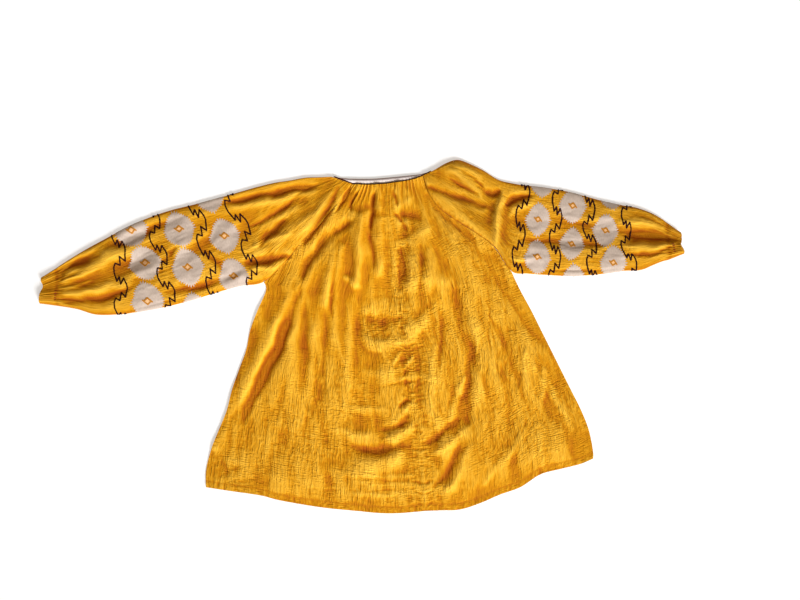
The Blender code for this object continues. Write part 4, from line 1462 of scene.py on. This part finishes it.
def row_of_stitches(name, tree, lines, reach, pitch, stitch, thread):
    """Stitches on a front along one of its edges, a reach off it, from lines of points that run off it."""
    gone = np.linalg.norm(lines[..., :2] - lines[:, :1, :2], axis=2)
    path = np.vstack([at_lengths(line, gap, [reach]) for gap, line in zip(gone, lines)])
    length = run_length(path)
    at = np.arange(pitch, length[-1] - pitch, pitch)
    here = at_lengths(path, length, at)
    squares = np.tile((0.0, 0.0, 1.0), (len(here), 1))
    return lay_stitches(name, tree, here, at_lengths(path, length, at + 1) - here, squares, stitch, thread)


def make_cuff_stitches(name, tree, sleeve, places, thread):
    """Short dashes of dark thread that show at the elastic."""
    places = np.array(places, dtype=float)
    here, square = on_sleeve(sleeve, places, CUFF_LIFT)
    ahead, _ = on_sleeve(sleeve, places + ruffle_way(sleeve), CUFF_LIFT)
    return lay_stitches(name, tree, here, ahead - here, square, CUFF_STITCH, thread)


# Finishes

class Value:
    """A value in a finish, whose sums are written as Python expressions."""

    def __init__(self, finish, socket):
        self.finish = finish
        self.socket = socket

    def maths(self, operation, first, second=0.0):
        return self.finish.node("ShaderNodeMath", {"operation": operation}, {0: first, 1: second})["Value"]

    def __add__(self, other):
        return self.maths("ADD", self, other)

    __radd__ = __add__

    def __sub__(self, other):
        return self.maths("SUBTRACT", self, other)

    def __rsub__(self, other):
        return self.maths("SUBTRACT", other, self)

    def __mul__(self, other):
        return self.maths("MULTIPLY", self, other)

    __rmul__ = __mul__

    def sine(self):
        return self.maths("SINE", self)

    def size(self):
        return self.maths("ABSOLUTE", self)

    def clipped(self):
        return self.finish.node("ShaderNodeClamp", None, {"Value": self})["Result"]

    def lines(self, sharpness):
        """Thin lines where a noise is at its middle."""
        return (1.0 - (self - 0.5).size() * sharpness).clipped()

    def ribs(self, pitch):
        """Wave along a coordinate, with a pitch in metres."""
        return (self * (2 * math.pi / pitch)).sine()


class Finish:
    """A material and its nodes, ending in one Principled shader."""

    def __init__(self, name):
        self.material = bpy.data.materials.new(name)
        self.material.use_nodes = True
        self.tree = self.material.node_tree
        self.shader = self.tree.nodes["Principled BSDF"]

    def node(self, kind, settings=None, values=None):
        """Adds a node with its settings and its sockets' values or links, and gives its outputs by name."""
        made = self.tree.nodes.new(kind)
        for key, value in (settings or {}).items():
            setattr(made, key, value)
        self.fill(made, values or {})
        return {socket.name: Value(self, socket) for socket in made.outputs if socket.enabled}

    def fill(self, made, values):
        for key, value in values.items():
            if isinstance(value, Value):
                self.tree.links.new(value.socket, made.inputs[key])
            else:
                made.inputs[key].default_value = value

    def surface(self, values):
        self.fill(self.shader, values)
        return self.material

    def mix(self, share, first, second):
        """Colour between two colours."""
        made = self.tree.nodes.new("ShaderNodeMix")
        made.data_type = "RGBA"
        self.fill(made, {0: share, 6: first, 7: second})
        return Value(self, made.outputs[2])

    def noise(self, place, scale, detail=2.0, roughness=0.5):
        return self.node("ShaderNodeTexNoise", None, {
            "Vector": place, "Scale": scale, "Detail": detail, "Roughness": roughness})["Fac"]

    def cloth_noise(self, place, cell, detail, roughness=0.5):
        """Noise on the cloth, with one cell every so many metres across and down."""
        across, down = cell
        stretched = self.node("ShaderNodeMapping", None, {
            "Vector": place, "Scale": (1.0 / across, 1.0 / down, 1.0)})["Vector"]
        return self.noise(stretched, 1.0, detail, roughness)

    def bump(self, height):
        """Normal from a height in millimetres."""
        return self.node("ShaderNodeBump", None, {
            "Strength": 1.0, "Distance": MM, "Height": height})["Normal"]

    def cloth_place(self):
        return self.node("ShaderNodeUVMap", {"uv_map": "cloth"})["UV"]


def linear(red, green, blue):
    """Linear colour from one given as a screen shows it, 0 to 255."""
    shown = (red, green, blue)
    return (*(((c / 255 + 0.055) / 1.055) ** 2.4 if c > 10 else c / 255 / 12.92 for c in shown), 1.0)


# Patterns of the cotton. Cells are metres across and down the cloth
CRINKLE_CELL = (0.008, 0.05)
PATCH_CELL = (0.09, 0.07)
DOWN_CELL = (0.005, 0.032)
CROSS_CELL = (0.026, 0.0046)
SLUB_CELL = (0.03, 0.0012)
MOTTLE_CELL = (0.05, 0.05)
YARN_PITCH = 0.0011

# Heights of the cotton's patterns
CRINKLE_HEIGHT = 1.6
CREASE_HEIGHT = 1.1
CREPE_HEIGHT = 1.5
WRINKLE_HEIGHT = 1.0
SLUB_HEIGHT = 0.1
YARN_HEIGHT = 0.03

# How far painted shade and highlight on the folds, painted highlight on the fine lines, and the cloth's own
# mottling darken or lighten the cotton
FOLD_PAINTED_SHADE = 0.8
LINE_PAINTED_HIGHLIGHT = 0.2
MOTTLE_CONTRAST = 0.4
DEEP_EVERYWHERE = 0.16
LIGHT_FROM = 0.1
LIGHT_CRINKLED = 0.14


def cotton(name, middle, deep_tone_and_shade, pale_tone_and_highlight):
    """Crinkled cotton: yarns, slubs and fine crinkles, deepened by painted shade in the folds and paled by
    painted highlight on them.
    """
    finish = Finish(name)
    place = finish.cloth_place()
    crinkle = finish.cloth_noise(place, CRINKLE_CELL, 1.5)
    creases = crinkle.lines(9.0)
    patches = ((finish.cloth_noise(place, PATCH_CELL, 1.0) - 0.5) * 5.0 + 0.5).clipped()
    down_lines = finish.cloth_noise(place, DOWN_CELL, 1.0)
    cross_lines = finish.cloth_noise(place, CROSS_CELL, 1.0)
    crepe = down_lines * patches + cross_lines * (1.0 - patches)
    wrinkles = crepe.lines(7.0)
    slub = finish.cloth_noise(place, SLUB_CELL, 1.0)
    mottle = finish.cloth_noise(place, MOTTLE_CELL, 4.0, 0.6)
    parts = finish.node("ShaderNodeSeparateXYZ", None, {"Vector": place})
    yarns = parts["X"].ribs(YARN_PITCH) * parts["Y"].ribs(YARN_PITCH)
    fold = finish.node("ShaderNodeAttribute", {"attribute_name": "fold"})["Fac"]
    crinkled = finish.node("ShaderNodeAttribute", {"attribute_name": "crinkled"})["Fac"]

    # Painted light: hollows of the fold attribute take the deep colour as painted shade, and its ridges and
    # the raised crinkle lines take the pale colour as painted highlight. The mottle is the cloth's own tone.
    lines = (creases * LINE_PAINTED_HIGHLIGHT + wrinkles * LINE_PAINTED_HIGHLIGHT) * crinkled
    shade = fold * FOLD_PAINTED_SHADE
    spots = (mottle - 0.5) * MOTTLE_CONTRAST
    deep_and_shade_share = (DEEP_EVERYWHERE - shade - spots - lines).clipped()
    pale_and_highlight_share = (shade - LIGHT_FROM + crinkled * LIGHT_CRINKLED + lines + spots).clipped()
    crinkles = crinkle * CRINKLE_HEIGHT + creases * CREASE_HEIGHT + crepe * CREPE_HEIGHT
    height = (crinkles + wrinkles * WRINKLE_HEIGHT) * crinkled + slub * SLUB_HEIGHT + yarns * YARN_HEIGHT
    return finish.surface({
        "Base Color": finish.mix(pale_and_highlight_share, finish.mix(deep_and_shade_share, middle, deep_tone_and_shade), pale_tone_and_highlight),
        "Roughness": 0.84 - (slub - 0.5) * 0.12,
        "Normal": finish.bump(height),
        "Specular IOR Level": 0.12,
        "Sheen Weight": 0.04,
        "Sheen Roughness": 0.5,
        "Sheen Tint": (1.0, 0.8, 0.5, 1.0),
    })


# Patterns of the threads and the tape, in metres
STITCH_CELL = (0.0022, 0.006)
THREAD_MOTTLE_CELL = (0.02, 0.02)
STRANDS_IN_A_METRE = 900.0
TAPE_RIB = 0.0032
TAPE_MOTTLE_CELL = (0.01, 0.004)


def pale_thread(name):
    """Pale stranded thread, laid in short rows."""
    finish = Finish(name)
    place = finish.cloth_place()
    parts = finish.node("ShaderNodeSeparateXYZ", None, {"Vector": place})
    rows = parts["X"].ribs(STITCH_CELL[0])
    stitches = finish.cloth_noise(place, STITCH_CELL, 2.0)
    mottle = finish.cloth_noise(place, THREAD_MOTTLE_CELL, 3.0)
    paleness = ((stitches - 0.5) * 0.7 + (mottle - 0.5) * 0.8 + 0.4).clipped()
    return finish.surface({
        "Base Color": finish.mix(paleness, linear(164, 145, 131), linear(215, 196, 180)),
        "Roughness": 0.62 + (stitches - 0.5) * 0.2,
        "Normal": finish.bump(rows * 0.12 + stitches * 0.35),
        "Specular IOR Level": 0.35,
        "Sheen Weight": 0.15,
    })


def plain_thread(name, dark, pale, roughness, shine):
    """Twisted thread of one colour."""
    finish = Finish(name)
    place = finish.node("ShaderNodeTexCoord")["Object"]
    strand = finish.noise(place, STRANDS_IN_A_METRE)
    return finish.surface({
        "Base Color": finish.mix(strand, dark, pale),
        "Roughness": roughness + (strand - 0.5) * 0.2,
        "Normal": finish.bump(strand * 0.25),
        "Specular IOR Level": shine,
    })


def woven_tape(name):
    """Pale tape with a fine rib across it, greyed along its upper edge by painted shade."""
    finish = Finish(name)
    place = finish.cloth_place()
    parts = finish.node("ShaderNodeSeparateXYZ", None, {"Vector": place})
    ribs = parts["X"].ribs(TAPE_RIB)
    mottle = finish.cloth_noise(place, TAPE_MOTTLE_CELL, 3.0)
    # Painted shade: the tape runs from grey at its upper edge to pale across it
    inner = (parts["Y"] * 170.0 - 0.3 + (mottle - 0.5) * 0.5 + ribs * 0.1).clipped()
    return finish.surface({
        "Base Color": finish.mix(inner, linear(170, 157, 156), linear(228, 216, 211)),
        "Roughness": 0.85 + (mottle - 0.5) * 0.1,
        "Normal": finish.bump(ribs * 0.1 + mottle * 0.2),
        "Specular IOR Level": 0.25,
    })


# Back and neck trim

BACK_SPACING = 9.0
BACK_HEIGHT = 0.25
BACK_WAVE = 0.12
BACK_WAVE_CELL = 30.0
BACK_GAP = 1.4
BACK_CRINKLED = 0.5
BACK_CLOTH_START = 1000.0
FACING_ENDS = (0.05, 0.955)
FACING_ROWS = 141
FACING_COLUMNS = 13
FACING_FLOOR = 1.3
FACING_LOW = 2.8
FACING_CROWN = 8.0
FACING_FULL = 11.0
FACING_ROUND = 0.7
FACING_INSET = 0.6
FACING_LEAST = 0.5
FACING_RIPPLE = 0.12
FACING_RIPPLE_SPACING = 13.0


def back_outline():
    """Outline of the back, from the left end of its neck round by the left side."""
    steps = np.linspace(0, 1, 41)
    middle = np.mean([point[0] for point in CENTRE_SEAM])
    seams = []
    for sleeve, rise in ((SLEEVE_LEFT, BACK_RISE_LEFT), (SLEEVE_RIGHT, BACK_RISE_RIGHT)):
        seam = spline(sleeve[:, 2:4], steps * ARMPIT) + rise * (1 - steps)[:, None]
        seam[:, 0] += np.sign(middle - seam[:, 0]) * SEAM_GAP * BACK_GAP
        seams.append(seam)
    down = np.linspace(0, 1, 61)[1:]
    neck = along([seams[0][0], *BACK_NECK[2:5], seams[1][0]], np.linspace(0, 1, 31))[1:-1]
    return np.vstack((seams[0], along(SIDE_LEFT, down), along(HEM_LEFT, down),
                      along(HEM_RIGHT, down)[-2::-1], along(SIDE_RIGHT, down)[::-1],
                      seams[1][::-1], neck[::-1]))


def make_back(finish):
    """Plain back panel, flat on the floor under the fronts."""
    points, triangles = filled(back_outline(), BACK_SPACING)
    wave = BACK_WAVE * ripple_noise(points[:, 0] / BACK_WAVE_CELL, points[:, 1] / BACK_WAVE_CELL, BACK_SEED)
    upper = np.column_stack((points, CLOTH + BACK_HEIGHT + wave))
    lower = np.column_stack((points, np.zeros(len(points))))
    made, faces = slab(upper, lower, triangles)
    uv = np.vstack((points, points)) + BACK_CLOTH_START
    values = {"fold": np.zeros(len(made)), "crinkled": np.full(len(made), BACK_CRINKLED)}
    return add_object("back_panel", smooth_mesh("back_panel", made, faces, uv, values), finish)


def make_facing(finish):
    """Pale tape inside the back neck, rounded across where the back neck rolls forward."""
    edge = along(BACK_NECK, np.linspace(*FACING_ENDS, FACING_ROWS))
    across = np.linspace(0, 1, FACING_COLUMNS)
    drop = -FACING_INSET - across * (FACING_WIDTH - FACING_INSET)
    plan = edge[:, None] + np.stack((0 * across, drop), axis=-1)[None]
    length = run_length(edge)
    wave = np.cos(2 * math.pi * length / FACING_RIPPLE_SPACING)[:, None]
    ripple = FACING_RIPPLE * wave * np.sin(math.pi * across)[None]
    front_line = np.array(FRONT_NECK)
    front_y = np.interp(edge[:, 0], front_line[:, 0], front_line[:, 1])
    shown = np.maximum(edge[:, 1] - front_y, FACING_LEAST)
    depth = np.clip(across[None] * FACING_WIDTH / shown[:, None], 0, 1)
    roll = (FACING_CROWN - FACING_LOW) * np.minimum(shown / FACING_FULL, 1)[:, None]
    height = FACING_LOW + roll * np.sin(math.pi * depth ** FACING_ROUND) ** FACING_ROUND + ripple
    rows, columns = height.shape
    outer = np.dstack((plan, height)).reshape(-1, 3)
    inner = np.dstack((plan, np.full(height.shape, FACING_FLOOR))).reshape(-1, 3)
    out_grid = number_grid(0, rows, columns)
    in_grid = number_grid(rows * columns, rows, columns)
    out_edge = border(out_grid)
    in_edge = border(in_grid)
    walls = np.column_stack((out_edge, np.roll(out_edge, -1), np.roll(in_edge, -1), in_edge))
    faces = [*quads(out_grid), *quads(in_grid)[:, ::-1], *walls]
    tape_across = np.repeat(across[None] * FACING_WIDTH, rows, 0)
    uv = np.dstack((np.repeat(length[:, None], columns, 1), tape_across)).reshape(-1, 2)
    mesh = smooth_mesh("neck_tape", np.vstack((outer, inner)), faces, np.vstack((uv, uv)))
    return add_object("neck_tape", mesh, finish)


PIPING_RADIUS = 1.05
PIPING_SIDES = 12
PIPING_TWIST = 7.0
PIPING_UNEVEN = 0.1
PIPING_ROWS = 261
PIPING_OFFSET = 1.7
PIPING_HEIGHT = 5.4


def make_piping(finish):
    """Thin dark piping along the front neckline, with the twist of its cord."""
    path = along(FRONT_NECK, np.linspace(0, 1, PIPING_ROWS))
    way = np.gradient(path, axis=0)
    way /= np.linalg.norm(way, axis=1)[:, None]
    square = np.column_stack((-way[:, 1], way[:, 0]))
    length = run_length(path)
    angle = np.linspace(0, 2 * math.pi, PIPING_SIDES + 1)[:-1]
    twist = angle[None] + 2 * math.pi * length[:, None] / PIPING_TWIST
    radius = PIPING_RADIUS * (1 + PIPING_UNEVEN * np.cos(2 * twist))
    reach = PIPING_OFFSET + radius * np.cos(angle)[None]
    height = PIPING_HEIGHT + radius * np.sin(angle)[None]
    plan = path[:, None] + square[:, None] * reach[..., None]
    rings = np.dstack((plan, height))
    grid = number_grid(0, *rings.shape[:2])
    closed = np.concatenate((grid, grid[:, :1]), axis=1)
    faces = [*quads(closed), grid[0], grid[-1][::-1]]
    return add_object("neck_cord", smooth_mesh("neck_cord", rings.reshape(-1, 3), faces), finish)


# Stage

FLOOR_REACH = 45.0
FLOOR_HEIGHT = -0.0004
FLOOR_GLOW = 0.48
FLOOR_GRAIN = 3.0

# Columns: name, kind, place that it shines from, place that it shines at, spread in degrees, strength, colour
LIGHTS = (
    ("key", "SUN", (2.0, -3.1, 2.3), (0.0, 0.0, 0.0), 26.0, 3.95, (0.98, 1.0, 1.03)),
    ("fill", "SUN", (-1.6, 1.4, 3.6), (0.0, 0.0, 0.0), 60.0, 0.15, (1.0, 0.9, 0.8)),
    ("pool", "SPOT", (1.2, -2.1, 2.3), (0.07, 0.02, 0.0), 20.5, 540.0, (1.0, 1.0, 1.0)),
)
POOL_LAMP_RADIUS = 0.6
ROOM_COLOUR = (1.0, 0.84, 0.64, 1.0)
ROOM_STRENGTH = 0.26


def make_floor():
    """Pale matt floor that glows a little, so that shadows on it stay faint."""
    mesh = bpy.data.meshes.new("floor")
    corners = ((-1, -1), (1, -1), (1, 1), (-1, 1))
    mesh.from_pydata([(x * FLOOR_REACH, y * FLOOR_REACH, FLOOR_HEIGHT) for x, y in corners],
                     [], [(0, 1, 2, 3)])
    paper = Finish("floor")
    grain = paper.noise(paper.node("ShaderNodeTexCoord")["Object"], FLOOR_GRAIN)
    paper.surface({
        "Base Color": paper.mix(grain, (0.6, 0.6, 0.6, 1.0), (0.62, 0.62, 0.62, 1.0)),
        "Roughness": 0.9,
        "Emission Color": (0.97, 0.97, 0.97, 1.0),
        "Emission Strength": FLOOR_GLOW,
    })
    floor = add_object("floor", mesh, paper.material)


def make_camera():
    """Camera straight above the picture's centre."""
    camera = bpy.data.cameras.new("camera")
    camera.sensor_width = SENSOR
    camera.lens = SENSOR * VIEW_HEIGHT / VIEW_WIDTH
    camera.clip_end = CLIP_END
    holder = bpy.data.objects.new("camera", camera)
    holder.location = (VIEW_CENTRE[0] * MM, VIEW_CENTRE[1] * MM, VIEW_HEIGHT * MM)
    bpy.context.scene.collection.objects.link(holder)
    bpy.context.scene.camera = holder


def make_lights():
    """Soft lights that come mostly from the lower right, and a dim warm room."""
    for name, kind, place, aim, spread, strength, colour in LIGHTS:
        lamp = bpy.data.lights.new(name, kind)
        if kind == "SUN":
            lamp.angle = math.radians(spread)
        else:
            lamp.spot_size = math.radians(spread)
            lamp.spot_blend = 1.0
            lamp.shadow_soft_size = POOL_LAMP_RADIUS
        lamp.energy = strength
        lamp.color = colour
        made = bpy.data.objects.new(name, lamp)
        made.location = place
        made.rotation_mode = "QUATERNION"
        made.rotation_quaternion = (Vector(aim) - Vector(place)).to_track_quat("-Z", "Y")
        bpy.context.scene.collection.objects.link(made)

    world = bpy.data.worlds.new("studio")
    world.use_nodes = True
    background = world.node_tree.nodes["Background"]
    background.inputs["Color"].default_value = ROOM_COLOUR
    background.inputs["Strength"].default_value = ROOM_STRENGTH
    bpy.context.scene.world = world
    bpy.context.scene.view_settings.view_transform = "Standard"


# Assembly

def make_threads():
    """Threads of the embroidery and the seams, by name."""
    return {
        "pale": pale_thread("pale_thread"),
        "dark": plain_thread("dark_thread", linear(24, 6, 6), linear(58, 18, 16), 0.85, 0.1),
        "olive": plain_thread("olive_thread", linear(148, 92, 14), linear(200, 134, 40), 0.7, 0.25),
        "heart": plain_thread("heart_thread", linear(220, 156, 84), linear(238, 196, 150), 0.7, 0.25),
        # The seam thread is a darker mustard than the cloth, partly its own colour and partly painted shade
        # of the stitched line
        "seam": plain_thread("mustard_thread_painted_shade", linear(170, 100, 5), linear(218, 146, 26), 0.8, 0.15),
        "red": plain_thread("red_thread", linear(110, 20, 12), linear(150, 44, 26), 0.8, 0.15),
    }


def embroider(side, sleeve, medallions, zigzags, width, dashes, tree, threads):
    """Embroidery and elastic stitches of one sleeve."""
    layers = (("medallions_", medallion_outlines, MEDALLION_LAYER, "pale"),
              ("rhombuses_", rhombus_bars, RHOMBUS_LAYER, "olive"),
              ("hearts_", hearts, HEART_LAYER, "heart"))
    work = [make_patches(name + side, sleeve, medallions, outlines, layer, threads[thread])
            for name, outlines, layer, thread in layers]
    work.append(make_zigzags("zigzags_" + side, tree, sleeve, zigzags, width, threads["dark"]))
    work.append(make_cuff_stitches("cuff_stitches_" + side, tree, sleeve, dashes, threads["red"]))
    return work


def sew(side, grid, tree, thread):
    """Topstitching of one front, above its hem and beside its raglan seam."""
    from_hem = np.swapaxes(grid, 0, 1)[:, ::-1]
    from_raglan = grid[RAGLAN_ROWS_FREE:FRONT_RAGLAN_ROWS - RAGLAN_ROWS_FREE]
    return [row_of_stitches("hem_stitches_" + side, tree, from_hem, HEM_BAND, HEM_PITCH, HEM_STITCH, thread),
            row_of_stitches("raglan_stitches_" + side, tree, from_raglan, RAGLAN_REACH, RAGLAN_PITCH,
                            RAGLAN_STITCH, thread)]


def dress():
    """Makes every piece, lets it ride on the part's body and hides the part's pieces that it stands in for.
    """
    # Mustard cotton: its own colour, a deep colour for painted shade in the folds, and a pale colour for
    # painted highlight on them
    mustard = cotton("mustard_cotton", linear(203, 137, 2), linear(157, 73, 0), linear(237, 181, 56))
    cord = plain_thread("dark_cord", linear(44, 10, 10), linear(92, 30, 28), 0.9, 0.05)
    threads = make_threads()
    tree = stitch_tree()

    left_front, left_grid = make_front("front_left_cloth", SLEEVE_LEFT, SIDE_LEFT, NECK_LEFT, HEM_LEFT,
                                       LEFT_COLUMNS, LEFT_CLOTH_WIDTH, mustard)
    right_front, right_grid = make_front("front_right_cloth", SLEEVE_RIGHT, SIDE_RIGHT, NECK_RIGHT,
                                         HEM_RIGHT, RIGHT_COLUMNS, RIGHT_CLOTH_WIDTH, mustard)
    left_sleeve = make_sleeve("sleeve_left_cloth", SLEEVE_LEFT, BACK_RISE_LEFT, mustard)
    right_sleeve = make_sleeve("sleeve_right_cloth", SLEEVE_RIGHT, BACK_RISE_RIGHT, mustard)
    back = make_back(mustard)
    tape = make_facing(woven_tape("pale_tape"))
    piping = make_piping(cord)
    left_work = embroider("left", SLEEVE_LEFT, MEDALLIONS_LEFT, ZIGZAGS_LEFT, FIGURE_WIDTH_LEFT,
                          CUFF_DASHES_LEFT, tree, threads)
    right_work = embroider("right", SLEEVE_RIGHT, MEDALLIONS_RIGHT, ZIGZAGS_RIGHT, FIGURE_WIDTH_RIGHT,
                           CUFF_DASHES_RIGHT, tree, threads)
    sewing = sew("left", left_grid, tree, threads["seam"]) + sew("right", right_grid, tree, threads["seam"])

    stands_for = ((left_front, "front_left", "cotton"), (right_front, "front_right", "cotton"),
                  (left_sleeve, "sleeve_left", "cotton"), (right_sleeve, "sleeve_right", "cotton"),
                  (back, "back", "cotton"), (tape, "neck_facing", "tape"), (piping, "neck_piping", "piping"))
    for piece, node, slot in stands_for:
        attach(piece, BODY)
        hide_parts(node)
    for piece in left_work + right_work + sewing:
        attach(piece, BODY)


dress()
make_floor()
make_camera()
make_lights()
